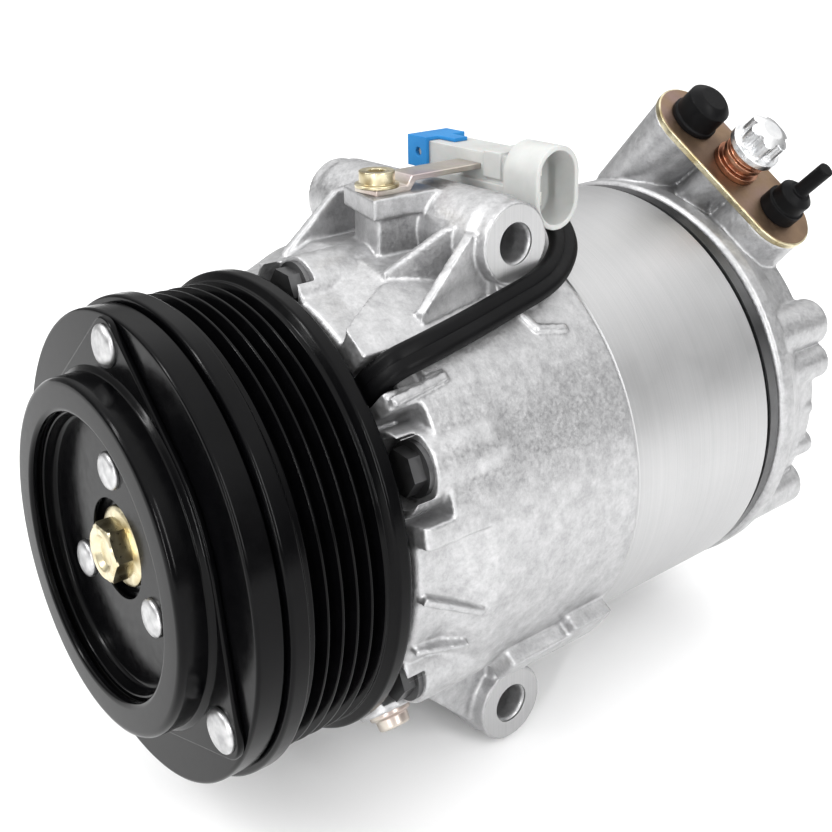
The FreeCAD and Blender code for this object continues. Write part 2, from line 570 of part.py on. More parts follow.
def make_rear_head():
    head = lathe([(0, HEAD_FRONT), (BODY_R - 1.2, HEAD_FRONT), (BODY_R, HEAD_FRONT + 0.8),
                  (BODY_R, 142.6), (55.2, 144.4), (51.6, 153.0), (50.4, HEAD_REAR - 2), (48.0, HEAD_REAR),
                  (0, HEAD_REAR)])
    added = []
    for angle in BOLT_ANGLES:
        boss = rod(6.6, V(BOLT_CIRCLE_R - 1.0, 140, 0), V(BOLT_CIRCLE_R - 1.0, 163.5, 0))
        boss = boss.fuse(Part.makeCone(6.6, 4.6, 2.0, V(BOLT_CIRCLE_R - 1.0, 163.5, 0), Y))
        added += around(boss, [angle])
    for angle, r, end in ((12.5, 5.2, 164.5), (-17.0, 3.6, 163.5), (-2.0, 3.0, 160.0)):
        added += around(rod(r, V(48.6, 140, 0), V(48.6, end, 0)), [angle])
    added.append(rod(13.0, V(VALVE_X, 150, VALVE_Z), V(VALVE_X, 169.0, VALVE_Z)))
    for angle in (10, 60, 120, 165, 310):
        added += around(box(0, 44, 158, HEAD_REAR + 2.2, -1.8, 1.8), [angle])
    added.append(disc(9.0, 158, HEAD_REAR + 3.0))
    added += around(rod(8.0, V(40, 150, 0), V(40, HEAD_REAR + 3.0, 0)), [RELIEF_ANGLE])

    normal, long_axis = port_axes()
    face = PORT_CENTRE - normal * PORT_PLATE_THICK
    high = face + long_axis * PORT_HALF_SPACING
    low = face - long_axis * PORT_HALF_SPACING
    added.append(Part.makeCone(10.7, 8.2, 34.0, high, normal * -1))
    added.append(Part.makeCone(10.7, 12.0, 18.0, low, normal * -1))
    across = normal.cross(long_axis)
    if across.y < 0:
        across = across * -1
    corners = [high + across * 1.0, low + across * 1.0, low + across * 1.0 - normal * 20,
               high + across * 1.0 - normal * 32]
    added.append(prism(corners, across * 7.5))
    added.append(rod(6.5, face, face - normal * 22))
    head = head.fuse(added)

    cuts = [ring(27.0, 45.4, HEAD_FRONT - 1, 151.0), disc(21.5, HEAD_FRONT - 1, 153.0)]
    for angle in BOLT_ANGLES:
        cuts += around(rod(BOLT_R, V(BOLT_CIRCLE_R, HEAD_FRONT - 1, 0), V(BOLT_CIRCLE_R, 159.0, 0)), [angle])
    for centre, bore_r, depth in ((high, PORT_BORE_R[1], 30.0), (low, PORT_BORE_R[-1], 16.0)):
        cuts.append(rod(bore_r, centre + normal, centre - normal * 9.5))
        cuts.append(rod(bore_r - 1.2, centre, centre - normal * depth))
        cuts.append(rod(9.3, centre + normal, centre - normal * 2.0))
    cuts.append(rod(3.0, face + normal, face - normal * 14))
    cuts.append(rod(8.5, V(VALVE_X, 153.0, VALVE_Z), V(VALVE_X, 170.0, VALVE_Z)))
    cuts += around(rod(5.0, V(40, 153, 0), V(40, HEAD_REAR + 4, 0)), [RELIEF_ANGLE])
    for angle in PISTON_ANGLES[1:4]:
        cuts += around(rod(4.0, V(48.2, 158, 0), V(48.2, HEAD_REAR + 1, 0)), [angle + 14])
    return head.cut(cuts)


def make_port_plate():
    normal, long_axis = port_axes()
    base = PORT_CENTRE - normal * PORT_PLATE_THICK
    plate = stadium(PORT_PLATE_HALF, PORT_PLATE_END_R, PORT_PLATE_THICK, base, long_axis, normal)
    holes = []
    for side in (-1, 1):
        centre = PORT_CENTRE + long_axis * (side * PORT_HALF_SPACING)
        holes.append(rod(PORT_BORE_R[side], centre + normal, centre - normal * 4))
    holes.append(rod(3.2, PORT_CENTRE + normal, PORT_CENTRE - normal * 4))
    return plate.cut(holes)


def make_port_plate_bolt():
    """Six-lobed flange bolt, its head crowned."""
    normal, _ = port_axes()
    seat = PORT_CENTRE + normal * COLLAR_HEIGHT
    flange = rod(7.4, seat, seat + normal * 2.0)
    side = normal.cross(Y)
    side.normalize()
    along = normal.cross(side)
    lobes = [rod(4.6, seat, seat + normal * 8.6)]
    for i in range(6):
        a = radians(60 * i + 12)
        foot = seat + side * (4.3 * cos(a)) + along * (4.3 * sin(a))
        lobes.append(rod(1.9, foot, foot + normal * 8.6))
    crown = Part.makeSphere(12.0, seat + normal * (9.0 - 12.0))
    head = fused(lobes).common(crown)
    shank = rod(3.0, seat, PORT_CENTRE - normal * 15.0)
    return fused([flange, head, shank])


def make_bolt_collar():
    """Spacer under the bolt's flange, waisted between two beads."""
    normal, _ = port_axes()
    steps = ((6.9, 0.0, 1.8), (5.3, 1.8, 3.6), (6.3, 3.6, 5.0), (5.2, 5.0, COLLAR_HEIGHT))
    rings = [rod(r, PORT_CENTRE + normal * low, PORT_CENTRE + normal * high) for r, low, high in steps]
    return fused(rings).cut(rod(3.1, PORT_CENTRE - normal, PORT_CENTRE + normal * 12))


def port_plug(side):
    """A plug's seat on the plate, the plate's normal and the stem that fills the port."""
    normal, long_axis = port_axes()
    centre = PORT_CENTRE + long_axis * (side * PORT_HALF_SPACING)
    return centre, normal, rod(PORT_BORE_R[side] - PLUG_FIT, centre - normal * 9.0, centre)


def make_high_plug():
    """Cap plug with a soft rounded top."""
    centre, normal, stem = port_plug(1)
    skirt = rod(HIGH_CAP_R + 0.5, centre, centre + normal * 1.6)
    crown = Part.makeSphere(HIGH_CAP_R * 1.3, centre + normal * (HIGH_CAP_HEIGHT - HIGH_CAP_R * 1.15))
    cap = rod(HIGH_CAP_R, centre, centre + normal * HIGH_CAP_HEIGHT)
    upper = rod(HIGH_CAP_R, centre + normal * (HIGH_CAP_HEIGHT - HIGH_CAP_R),
                centre + normal * HIGH_CAP_HEIGHT)
    cap = cap.cut(upper).fuse(upper.common(crown))
    return fused([stem, skirt, cap])


def make_low_plug():
    """Cap plug with a pull stem."""
    centre, normal, stem = port_plug(-1)
    pieces = [stem, rod(5.7, centre, centre + normal * 4.2), rod(4.9, centre, centre + normal * 8.0),
              Part.makeCone(4.9, 3.0, 1.6, centre + normal * 8.0, normal),
              rod(2.1, centre + normal * 8.0, centre + normal * 19.8)]
    return fused(pieces)


def make_control_valve():
    """Valve body in the head, with the bore its rod slides in."""
    body = fused([rod(8.5, V(VALVE_X, 154.0, VALVE_Z), V(VALVE_X, 167.0, VALVE_Z)),
                  rod(6.0, V(VALVE_X, 167.0, VALVE_Z), V(VALVE_X, 170.4, VALVE_Z))])
    chamber = rod(5.0, V(VALVE_X, 158.5, VALVE_Z), V(VALVE_X, 164.5, VALVE_Z))
    guide = rod(1.55, V(VALVE_X, 153.0, VALVE_Z), V(VALVE_X, 168.5, VALVE_Z))
    return body.cut([chamber, guide])


def make_control_valve_rod():
    stem = rod(1.5, V(VALVE_X, 154.5, VALVE_Z), V(VALVE_X, 167.0, VALVE_Z))
    return fused([stem, rod(4.2, V(VALVE_X, 160.0, VALVE_Z), V(VALVE_X, 162.2, VALVE_Z))])


def make_relief_valve():
    seat = polar(40, RELIEF_ANGLE, HEAD_REAR + 3.0)
    body = rod(5.0, seat - Y * 10, seat)
    head = hexagon(13.0, 5.0, seat, Y)
    outlet = rod(4.4, seat + Y * 5.0, seat + Y * 9.0).cut(rod(2.2, seat + Y * 5.5, seat + Y * 10))
    return fused([body, head, outlet])


# --- shaft, rotor and swash plate ---------------------------------------------------------
HINGE_Z, HINGE_BACK = 24.0, 22.0


def swash_pose(tilt_degrees):
    """Middle of the plate along the shaft, and the hinge pin's (y, z), at a tilt."""
    a = radians(tilt_degrees)
    middle = PLATE_MID - PISTON_PITCH_R * tan(a)
    return middle, (middle - HINGE_BACK * cos(a) + HINGE_Z * sin(a), HINGE_BACK * sin(a) + HINGE_Z * cos(a))


def make_drive_shaft():
    shaft = lathe([(0, SHAFT_TIP), (6.2, SHAFT_TIP), (7.0, SHAFT_TIP + 0.8), (7.0, -15.0), (SHAFT_R, -14.6),
                   (SHAFT_R, 119.0), (7.2, 120.0), (0, 120.0)])
    return shaft.cut(disc(4.0, SHAFT_TIP - 1, -3.5))


def make_rotor():
    """Drive plate fixed on the shaft, with two slotted ears for the hinge pin and a counterweight."""
    plate = lathe([(SHAFT_R, 32.6), (26.0, 32.6), (28.0, 34.0), (38.0, 35.0), (38.0, 42.0), (18.0, 43.5),
                   (SHAFT_R, 43.5)])
    _, (y0, z0) = swash_pose(0)
    _, (y1, z1) = swash_pose(TILT_MAX)
    ears = []
    for side in (-1, 1):
        x0 = side * 6.2 if side > 0 else -11.2
        outline = [(40, 15), (58, 17), (y0 + 6.5, z0 - 5.5), (y0 + 6.5, z1 + 3), (y1 + 2, z1 + 6.5), (40, 36)]
        ears.append(prism([V(x0, y, z) for y, z in outline], X * 5.0))
    weight = disc(38.0, 41.0, 47.0).cut([disc(22.0, 40, 48), box(-40, 40, 40, 48, -14, 40)])
    body = fused([plate, weight] + ears)
    along = V(0, y1 - y0, z1 - z0)
    slot_r = 3.35
    start = V(-12, y0, z0)
    slot = stadium(along.Length / 2 + slot_r, slot_r, 24.0, start + along * 0.5, along, X)
    return body.cut(slot)


def make_return_spring():
    """Coil spring round the shaft, between rotor and sleeve."""
    wire_r, coil_r, turns = 0.9, 10.2, 7
    length = (PLATE_MID - 7.0) - 43.5 - 2 * wire_r - 0.4
    helix = Part.makeHelix(length / turns, length, coil_r)
    profile = Part.Wire(Part.makeCircle(wire_r, V(coil_r, 0, 0), Y))
    spring = Part.Wire(helix).makePipeShell([profile], True, True)
    spring.rotate(ORIGIN, X, -90)
    spring.translate(V(0, 43.5 + wire_r + 0.2, 0))
    return spring


def make_swash_sleeve():
    sleeve = ring(SHAFT_R + RUNNING, 12.0, PLATE_MID - 7, PLATE_MID + 7)
    bore = rod(3.0 + RUNNING, V(-13, PLATE_MID, 0), V(13, PLATE_MID, 0))
    return sleeve.cut(bore)


def make_swash_plate():
    body = lathe([(14.8, PLATE_MID - 6.5), (20.0, PLATE_MID - 6.5), (21.5, PLATE_MID - PLATE_HALF),
                  (PLATE_R, PLATE_MID - PLATE_HALF), (PLATE_R, PLATE_MID + PLATE_HALF),
                  (21.5, PLATE_MID + PLATE_HALF), (20.0, PLATE_MID + 6.5), (14.8, PLATE_MID + 6.5)])
    _, (pin_y, pin_z) = swash_pose(0)
    outline = [(pin_y, pin_z - 4.6), (PLATE_MID - 3, 12.0), (PLATE_MID - 3, 21.0), (PLATE_MID - 10, 21.5),
               (pin_y + 2, pin_z + 4.1)]
    tongue = fused([prism([V(-5.4, y, z) for y, z in outline], X * 10.8),
                    rod(4.6, V(-5.4, pin_y, pin_z), V(5.4, pin_y, pin_z))])
    body = body.fuse(tongue).removeSplitter()
    return body.cut([rod(3.0, V(-12, pin_y, pin_z), V(12, pin_y, pin_z)),
                     rod(3.0, V(-22, PLATE_MID, 0), V(22, PLATE_MID, 0))])


def make_swash_pins():
    """Hinge pin in the rotor's slots, and the two pivot pins that carry the plate on its sleeve."""
    _, (pin_y, pin_z) = swash_pose(0)
    pins = [rod(3.0, V(-11.0, pin_y, pin_z), V(11.0, pin_y, pin_z))]
    for side in (-1, 1):
        pins.append(rod(3.0, V(side * 9.0, PLATE_MID, 0), V(side * 19.5, PLATE_MID, 0)))
    return Part.makeCompound(pins)


def make_piston(angle):
    """Solid skirt with a jaw that reaches round the plate's rim, drawn at angle 0 and turned."""
    crown = BLOCK_REAR - 0.2
    centre = V(PISTON_PITCH_R, PLATE_MID, 0)
    skirt = rod(CYLINDER_R - RUNNING, V(PISTON_PITCH_R, BORE_START + 1.0, 0), V(PISTON_PITCH_R, crown, 0))
    jaw = box(PISTON_PITCH_R - 7.5, CHAMBER_R - 0.5, PLATE_MID - 12.5, BORE_START + 1.0, -9, 9)
    jaw = jaw.common(disc(CHAMBER_R - 0.5, 60, 110))
    inside = rod(CYLINDER_R - RUNNING, V(PISTON_PITCH_R, 95, 0), V(PISTON_PITCH_R, 110, 0))
    entering = jaw.common(box(0, 60, 100.0, 110, -20, 20)).common(inside)
    jaw = jaw.cut(box(0, 60, 100.0, 110, -20, 20)).fuse(entering)
    mouth = box(PISTON_PITCH_R - 12, 41.0, PLATE_MID - 6.5, PLATE_MID + 6.5, -12, 12)
    socket = Part.makeSphere(SHOE_SPHERE_R + RUNNING, centre)
    socket = socket.common(box(PISTON_PITCH_R - 10, 43.0, PLATE_MID - 9, PLATE_MID + 9, -9, 9))
    piston = skirt.fuse(jaw).cut([mouth, socket]).removeSplitter()
    return around(piston, [angle])[0]


def make_shoes(angle):
    """Front and rear shoe of one piston: each is half of one ball about the plate's middle plane."""
    centre = V(PISTON_PITCH_R, PLATE_MID, 0)
    ball = Part.makeSphere(SHOE_SPHERE_R, centre)
    shoes = []
    for side in (-1, 1):
        start = centre + Y * (side * (PLATE_HALF + SHOE_GAP))
        shoes.append(ball.common(rod(SHOE_R, start, start + Y * (side * 10))))
    return Part.makeCompound(around(Part.makeCompound(shoes), [angle]))


def roller_ring(shell_r, y0, y1):
    """Needle bearing on the shaft: outer shell and a ring of rollers."""
    shell = ring(shell_r - 1.4, shell_r, y0, y1)
    roller_r = (shell_r - 1.4 - SHAFT_R) / 2 - RUNNING
    pitch_r = SHAFT_R + RUNNING + roller_r
    roller = rod(roller_r, V(pitch_r, y0 + 1, 0), V(pitch_r, y1 - 1, 0))
    return [shell] + around(roller, [360 / 18 * i for i in range(18)])


def make_needle_bearings():
    return Part.makeCompound(roller_ring(12.0, 17.4, 28.6) + roller_ring(12.0, 102.0, 112.6))


def make_thrust_bearing():
    """Two washers with rollers between them, in front of the rotor."""
    roller = rod(0.9, V(13.6, 31.0, 0), V(22.6, 31.0, 0))
    rollers = around(roller, range(0, 360, 20))
    return Part.makeCompound([ring(12.6, 24.0, 29.0, 30.0), ring(12.6, 24.0, 32.0, 32.5)] + rollers)


def make_shaft_seal():
    """Lip seal in the nose, held by a ring."""
    return lathe([(12.0, -9.2), (14.0, -9.2), (14.0, 0.0), (9.6, 0.0), (SHAFT_R + RUNNING, -2.2),
                  (SHAFT_R + RUNNING, -3.2), (9.8, -2.4), (12.0, -2.4)])


def make_seal_ring():
    return snap_ring(11.0, 15.0, -10.6, -9.2, 90, 5)


# --- electrical ---------------------------------------------------------------------------
LEAD_ROUTE = [polar(46.2, LEAD_EXIT_ANGLE, LEAD_EXIT_Y), polar(57.6, LEAD_EXIT_ANGLE, LEAD_EXIT_Y),
              polar(61.4, 47.0, 29.0), polar(61.6, 49.0, 42.0),
              polar(62.6, 51.0, 54.0), polar(64.0, 52.6, 65.5),
              polar(62.8, 56.6, 75.0), polar(62.6, 63.0, 83.5), V(17.5, 88.5, 60.8), V(5.5, 86.0, 61.2),
              V(-3.5, 82.0, 61.0), V(-8.5, 79.0, 63.6), V(-10.0, 77.4, 70.0)]


def rounded_route(points):
    """Straight runs joined by tangent arcs, each as large as its shorter run allows."""
    edges, last = [], points[0]
    radii = []
    for before, corner, after in zip(points, points[1:], points[2:]):
        to_before, to_after = before - corner, after - corner
        reach = 0.45 * min(to_before.Length, to_after.Length)
        u, w = V(to_before).normalize(), V(to_after).normalize()
        start, end = corner + u * reach, corner + w * reach
        half_turn = (radians(180) - u.getAngle(w)) / 2
        radius = reach / tan(half_turn)
        radii.append(radius)
        bisector = (u + w).normalize()
        middle = corner + bisector * (radius / cos(half_turn) - radius)
        edges += [Part.LineSegment(last, start).toShape(), Part.Arc(start, middle, end).toShape()]
        last = end
    edges.append(Part.LineSegment(last, points[-1]).toShape())
    print("lead bend radii", [round(r, 1) for r in radii])
    return Part.Wire(edges)


def make_coil_lead():
    path = rounded_route(LEAD_ROUTE)
    profile = Part.Wire(Part.makeCircle(LEAD_R, LEAD_ROUTE[0], LEAD_ROUTE[1] - LEAD_ROUTE[0]))
    lead = path.makePipeShell([profile], True, True)
    print("lead volume over section times length", lead.Volume / (3.14159265 * LEAD_R ** 2 * path.Length))
    return lead


def connector_section(half_y, half_z, x0, x1):
    """Upright stadium drawn square to X."""
    return stadium(half_z, half_y, x1 - x0, V(x0, CONNECTOR_Y, CONNECTOR_Z), Z, X)


def make_connector_body(lead):
    """Socket with an oval collar; the lead is moulded into its underside."""
    collar = connector_section(7.0, 10.1, 20.6, 31.8)
    barrel = box(-13.0, 21.0, CONNECTOR_Y - 5.4, CONNECTOR_Y + 5.4, 65.0, 76.4)
    rail = box(0.0, 21.0, CONNECTOR_Y - 6.4, CONNECTOR_Y - 5.4, 67.2, 69.6)
    band = box(12.6, 18.6, CONNECTOR_Y - 6.2, CONNECTOR_Y + 6.2, 70.6, 77.2)
    body = fused([collar, barrel, rail, band])
    return body.cut([connector_section(5.7, 8.8, 22.8, 33.0), make_connector_terminals(), lead])


def make_connector_terminals():
    blades = [box(12.0, 26.0, CONNECTOR_Y - 0.4, CONNECTOR_Y + 0.4, z - 1.6, z + 1.6)
              for z in (CONNECTOR_Z - 3.6, CONNECTOR_Z + 3.6)]
    return Part.makeCompound(blades)


def make_connector_lock():
    """Small clip over the connector's closed end, with a finger along the top and a pierced cheek."""
    front, back = CONNECTOR_Y - 6.6, CONNECTOR_Y + 6.6
    inside = box(-13.0, -8.0, front + 1.2, back - 1.2, 60.0, 76.4)
    clip = box(-16.0, -8.5, front, back, 69.4, 77.4).cut(inside)
    finger = box(-8.6, -2.5, CONNECTOR_Y - 2.2, CONNECTOR_Y + 2.2, 76.4, 77.4)
    hole = rod(1.1, V(-11.6, front - 1, 73.4), V(-11.6, front + 2, 73.4))
    return clip.fuse(finger).cut(hole).removeSplitter()


def make_connector_bracket():
    """Strip from the pad to the connector, with one step up."""
    outline = [(SCREW_Y - 3.4, PAD_TOP), (SCREW_Y + 6.6, PAD_TOP), (SCREW_Y + 8.2, PAD_TOP + 2.2),
               (CONNECTOR_Y - 5.4, PAD_TOP + 2.2), (CONNECTOR_Y - 5.4, PAD_TOP + 3.6),
               (SCREW_Y + 7.2, PAD_TOP + 3.6),
               (SCREW_Y + 5.6, PAD_TOP + 1.4), (SCREW_Y - 3.4, PAD_TOP + 1.4)]
    strip = prism([V(SCREW_X - 4.2, y, z) for y, z in outline], X * 8.4)
    return strip.cut(rod(2.2, V(SCREW_X, SCREW_Y, PAD_TOP - 1), V(SCREW_X, SCREW_Y, PAD_TOP + 3)))


def make_bracket_screw():
    top = V(SCREW_X, SCREW_Y, PAD_TOP + 1.4)
    flange = rod(5.2, top, top + Z * 0.9)
    head = rod(4.2, top + Z * 0.9, top + Z * 3.8)
    socket = hexagon(3.8, 3.0, top + Z * 1.8, Z)
    shank = rod(2.0, V(SCREW_X, SCREW_Y, PAD_TOP - 8), top)
    return fused([flange, head, shank]).cut(socket)


def make_drain_plug():
    seat = polar(55.6, DRAIN_ANGLE, DRAIN_Y)
    out = polar(1, DRAIN_ANGLE, 0)
    return fused([rod(2.5, seat - out * 7, seat), rod(5.4, seat, seat + out * 1.2),
                  hexagon(7.6, 3.6, seat + out * 1.2, out)])


# --- every node ---------------------------------------------------------------------------
def build_all():
    lead = make_coil_lead()
    parts = {
        "front_housing": make_front_housing(),
        "cylinder_block": make_cylinder_block(),
        "rear_head": make_rear_head(),
        "valve_plate": make_valve_plate(),
        "valve_reeds": make_valve_reeds(),
        "head_gaskets": make_head_gaskets(),
        "o_rings": make_case_rings(),
        "through_bolts": make_through_bolts(),
        "needle_bearings": make_needle_bearings(),
        "thrust_bearing": make_thrust_bearing(),
        "shaft_seal": make_shaft_seal(),
        "seal_retaining_ring": make_seal_ring(),
        "field_coil": make_field_coil(),
        "coil_winding": make_coil_winding(),
        "snap_rings": make_snap_rings(),
        "bearing_inner_race": make_race(17.5, 20.5),
        "bearing_outer_race": make_race(23.0, 26.0),
        "bearing_balls": make_bearing_balls(),
        "pulley": make_pulley(),
        "armature_plate": make_armature(),
        "hub_cup": make_hub_cup(),
        "outer_rivets": make_outer_rivets(),
        "damper_ring": make_damper_ring(),
        "hub_plate": make_hub_plate(),
        "clutch_hub": make_clutch_hub(),
        "inner_rivets": make_inner_rivets(),
        "hub_bolt": make_hub_bolt(),
        "coil_lead": lead,
        "connector_body": make_connector_body(lead),
        "connector_lock": make_connector_lock(),
        "connector_terminals": make_connector_terminals(),
        "connector_bracket": make_connector_bracket(),
        "bracket_screw": make_bracket_screw(),
        "drain_plug": make_drain_plug(),
        "port_plate": make_port_plate(),
        "port_plate_bolt": make_port_plate_bolt(),
        "bolt_collar": make_bolt_collar(),
        "high_port_plug": make_high_plug(),
        "low_port_plug": make_low_plug(),
        "control_valve": make_control_valve(),
        "control_valve_rod": make_control_valve_rod(),
        "relief_valve": make_relief_valve(),
        "drive_shaft": make_drive_shaft(),
        "rotor": make_rotor(),
        "return_spring": make_return_spring(),
        "swash_sleeve": make_swash_sleeve(),
        "swash_plate": make_swash_plate(),
        "swash_pins": make_swash_pins(),
    }
    for number, angle in enumerate(PISTON_ANGLES, start=1):
        parts["piston_%d" % number] = make_piston(angle)
        parts["shoes_%d" % number] = make_shoes(angle)
    return parts


os.makedirs("parts", exist_ok=True)
for name, shape in build_all().items():
    state = "valid" if shape.isValid() else "NOT VALID"
    print(name, state, "solids", len(shape.Solids), round(shape.Volume, 1))
    shape.exportStep(os.path.join("parts", name + ".step"))
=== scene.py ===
"""Looks of the automotive air-conditioning compressor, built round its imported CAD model.

Lengths are in millimetres until a mesh is finished; the floor, lights and camera are in metres. The
frame is the CAD's: +Y runs along the shaft from the clutch to the rear head, +Z is up.
"""
import json
import bmesh
import bpy
from math import cos, pi, radians, sin, tan
from mathutils import Matrix, Vector


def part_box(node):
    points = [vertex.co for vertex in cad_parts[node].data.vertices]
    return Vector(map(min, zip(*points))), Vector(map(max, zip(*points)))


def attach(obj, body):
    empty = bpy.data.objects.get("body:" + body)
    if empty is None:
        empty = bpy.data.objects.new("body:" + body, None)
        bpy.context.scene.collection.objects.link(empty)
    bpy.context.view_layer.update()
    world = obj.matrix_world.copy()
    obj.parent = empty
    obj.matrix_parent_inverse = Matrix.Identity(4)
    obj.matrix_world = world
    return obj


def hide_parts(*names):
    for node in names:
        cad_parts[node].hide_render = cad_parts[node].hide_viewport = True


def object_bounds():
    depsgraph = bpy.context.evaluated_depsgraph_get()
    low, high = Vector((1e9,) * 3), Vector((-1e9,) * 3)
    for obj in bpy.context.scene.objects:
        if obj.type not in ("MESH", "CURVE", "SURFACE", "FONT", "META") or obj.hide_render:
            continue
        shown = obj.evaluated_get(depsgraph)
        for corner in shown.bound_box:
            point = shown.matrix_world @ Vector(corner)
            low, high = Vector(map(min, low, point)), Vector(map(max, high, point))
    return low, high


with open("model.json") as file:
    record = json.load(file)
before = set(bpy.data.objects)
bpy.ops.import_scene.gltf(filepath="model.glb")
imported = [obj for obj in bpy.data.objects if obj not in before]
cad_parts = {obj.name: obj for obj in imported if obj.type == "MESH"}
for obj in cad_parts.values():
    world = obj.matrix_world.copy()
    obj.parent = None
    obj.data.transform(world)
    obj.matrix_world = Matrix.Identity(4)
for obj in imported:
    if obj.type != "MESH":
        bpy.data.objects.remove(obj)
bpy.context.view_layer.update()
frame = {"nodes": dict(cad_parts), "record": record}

MM = 0.001
X, Y, Z = Vector((1, 0, 0)), Vector((0, 1, 0)), Vector((0, 0, 1))
BODY_OF = {node: body for body, nodes in frame["record"]["behaviour"]["bodies"].items() for node in nodes}
SLOT_OF = {part["node"]: part["material_slot"] for part in frame["record"]["subparts"]}


def span(node):
    """Lowest and highest corner of a CAD node in millimetres."""
    low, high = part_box(node)
    return low / MM, high / MM


def polar(r, degrees, y):
    return Vector((r * cos(radians(degrees)), y, r * sin(radians(degrees))))


# --- materials ------------------------------------------------------------------------------
class Nodes:
    """Short hand for building one material's node tree."""

    def __init__(self, name):
        self.material = bpy.data.materials.new(name)
        self.material.use_nodes = True
        self.tree = self.material.node_tree
        self.shader = self.tree.nodes["Principled BSDF"]
        self.place = self.add("ShaderNodeTexCoord").outputs["Object"]

    def add(self, kind, **values):
        node = self.tree.nodes.new(kind)
        for name, value in values.items():
            node.inputs[name].default_value = value
        return node

    def link(self, start, end):
        self.tree.links.new(start, end)

    def set(self, **values):
        for name, value in values.items():
            self.shader.inputs[name.replace("_", " ")].default_value = value

    def stretched(self, scale):
        """Object coordinates scaled apart along the axes, for brushed or turned marks."""
        mapping = self.add("ShaderNodeMapping")
        mapping.inputs["Scale"].default_value = scale
        self.link(self.place, mapping.inputs["Vector"])
        return mapping.outputs["Vector"]

    def noise(self, scale, detail=4.0, roughness=0.55, vector=None):
        noise = self.add("ShaderNodeTexNoise", Scale=scale, Detail=detail, Roughness=roughness)
        self.link(vector or self.place, noise.inputs["Vector"])
        return noise.outputs["Fac"]

    def ramp(self, factor, stops):
        """stops is a list of (position, colour) with grey or RGB colours."""
        ramp = self.add("ShaderNodeValToRGB")
        elements = ramp.color_ramp.elements
        while len(elements) < len(stops):
            elements.new(0.5)
        for element, (position, colour) in zip(elements, stops):
            element.position = position
            if isinstance(colour, (int, float)):
                colour = (colour, colour, colour)
            element.color = (*colour, 1)
        self.link(factor, ramp.inputs["Fac"])
        return ramp.outputs["Color"]

    def multiply_add(self, value, factor, extra):
        node = self.add("ShaderNodeMath")
        node.operation = "MULTIPLY_ADD"
        self.link(value, node.inputs[0])
        node.inputs[1].default_value = factor
        self.link(extra, node.inputs[2])
        return node.outputs[0]

    def bump(self, height, strength, distance, after=None):
        bump = self.add("ShaderNodeBump", Strength=strength, Distance=distance * MM)
        self.link(height, bump.inputs["Height"])
        if after:
            self.link(after, bump.inputs["Normal"])
        self.link(bump.outputs["Normal"], self.shader.inputs["Normal"])
        return bump.outputs["Normal"]


def cast_metal(name, dark, light, rough_low, rough_high, grain, depth):
    """As-cast light alloy: mottled colour, fine sandy grain."""
    n = Nodes(name)
    n.set(Metallic=0.88)
    fine = n.noise(grain, 5.0, 0.65)
    blotch = n.multiply_add(fine, 0.5, n.noise(260.0, 7.0, 0.75))
    n.link(n.ramp(blotch, [(0.5, dark), (0.98, light)]), n.shader.inputs["Base Color"])
    n.link(n.ramp(fine, [(0.3, rough_low), (0.72, rough_high)]), n.shader.inputs["Roughness"])
    first = n.bump(fine, 0.45, depth)
    n.bump(n.noise(260.0, 3.0), 0.35, depth * 3, after=first)
    return n.material


def turned_metal(name, dark, light, rough, marks=1500.0):
    """Machined metal with fine rings around the shaft axis."""
    n = Nodes(name)
    n.set(Metallic=0.95)
    rings = n.noise(6.0, 5.0, 0.6, n.stretched((0.5, marks, 0.5)))
    n.link(n.ramp(rings, [(0.25, dark), (0.75, light)]), n.shader.inputs["Base Color"])
    cloud = n.noise(60.0, 5.0, 0.6)
    n.link(n.ramp(cloud, [(0.3, rough - 0.05), (0.7, rough + 0.07)]), n.shader.inputs["Roughness"])
    first = n.bump(rings, 0.12, 0.02)
    n.bump(n.noise(1300.0, 5.0, 0.65), 0.3, 0.05, after=first)
    return n.material


def plated(name, colours, rough, scale=70.0, metallic=1.0):
    """Plated metal whose tint drifts between colours, with small scuffs."""
    n = Nodes(name)
    n.set(Metallic=metallic)
    drift = n.noise(scale, 2.0, 0.5)
    stops = [(0.3 + 0.4 * i / (len(colours) - 1), c) for i, c in enumerate(colours)]
    n.link(n.ramp(drift, stops), n.shader.inputs["Base Color"])
    scuff = n.noise(900.0, 6.0, 0.7)
    n.link(n.ramp(scuff, [(0.35, rough), (0.75, rough + 0.16)]), n.shader.inputs["Roughness"])
    n.bump(scuff, 0.15, 0.03)
    return n.material


def paint(name, colour, rough, peel=0.25):
    """Painted or e-coated steel: slight orange peel and dust in the roughness."""
    n = Nodes(name)
    n.set(Metallic=0.0, Specular_IOR_Level=0.09)
    dust = n.noise(140.0, 6.0, 0.65)
    lighter = tuple(c * 1.5 + 0.0006 for c in colour)
    n.link(n.ramp(dust, [(0.35, colour), (0.8, lighter)]), n.shader.inputs["Base Color"])
    gloss = n.ramp(n.noise(420.0, 5.0, 0.6), [(0.3, rough), (0.75, rough + 0.12)])
    n.link(gloss, n.shader.inputs["Roughness"])
    n.bump(n.noise(700.0, 2.0, 0.4), peel, 0.02)
    return n.material


def moulded(name, colour, shade, rough, grain=1400.0, subsurface=0.0):
    """Moulded plastic or rubber with a fine matt skin."""
    n = Nodes(name)
    n.set(Metallic=0.0, Specular_IOR_Level=0.08)
    if subsurface:
        n.set(Subsurface_Weight=subsurface, Subsurface_Scale=0.6 * MM)
    n.link(n.ramp(n.noise(110.0, 4.0), [(0.3, shade), (0.7, colour)]), n.shader.inputs["Base Color"])
    skin = n.noise(grain, 4.0, 0.6)
    n.link(n.ramp(skin, [(0.3, rough), (0.7, rough + 0.12)]), n.shader.inputs["Roughness"])
    n.bump(skin, 0.2, 0.02)
    return n.material


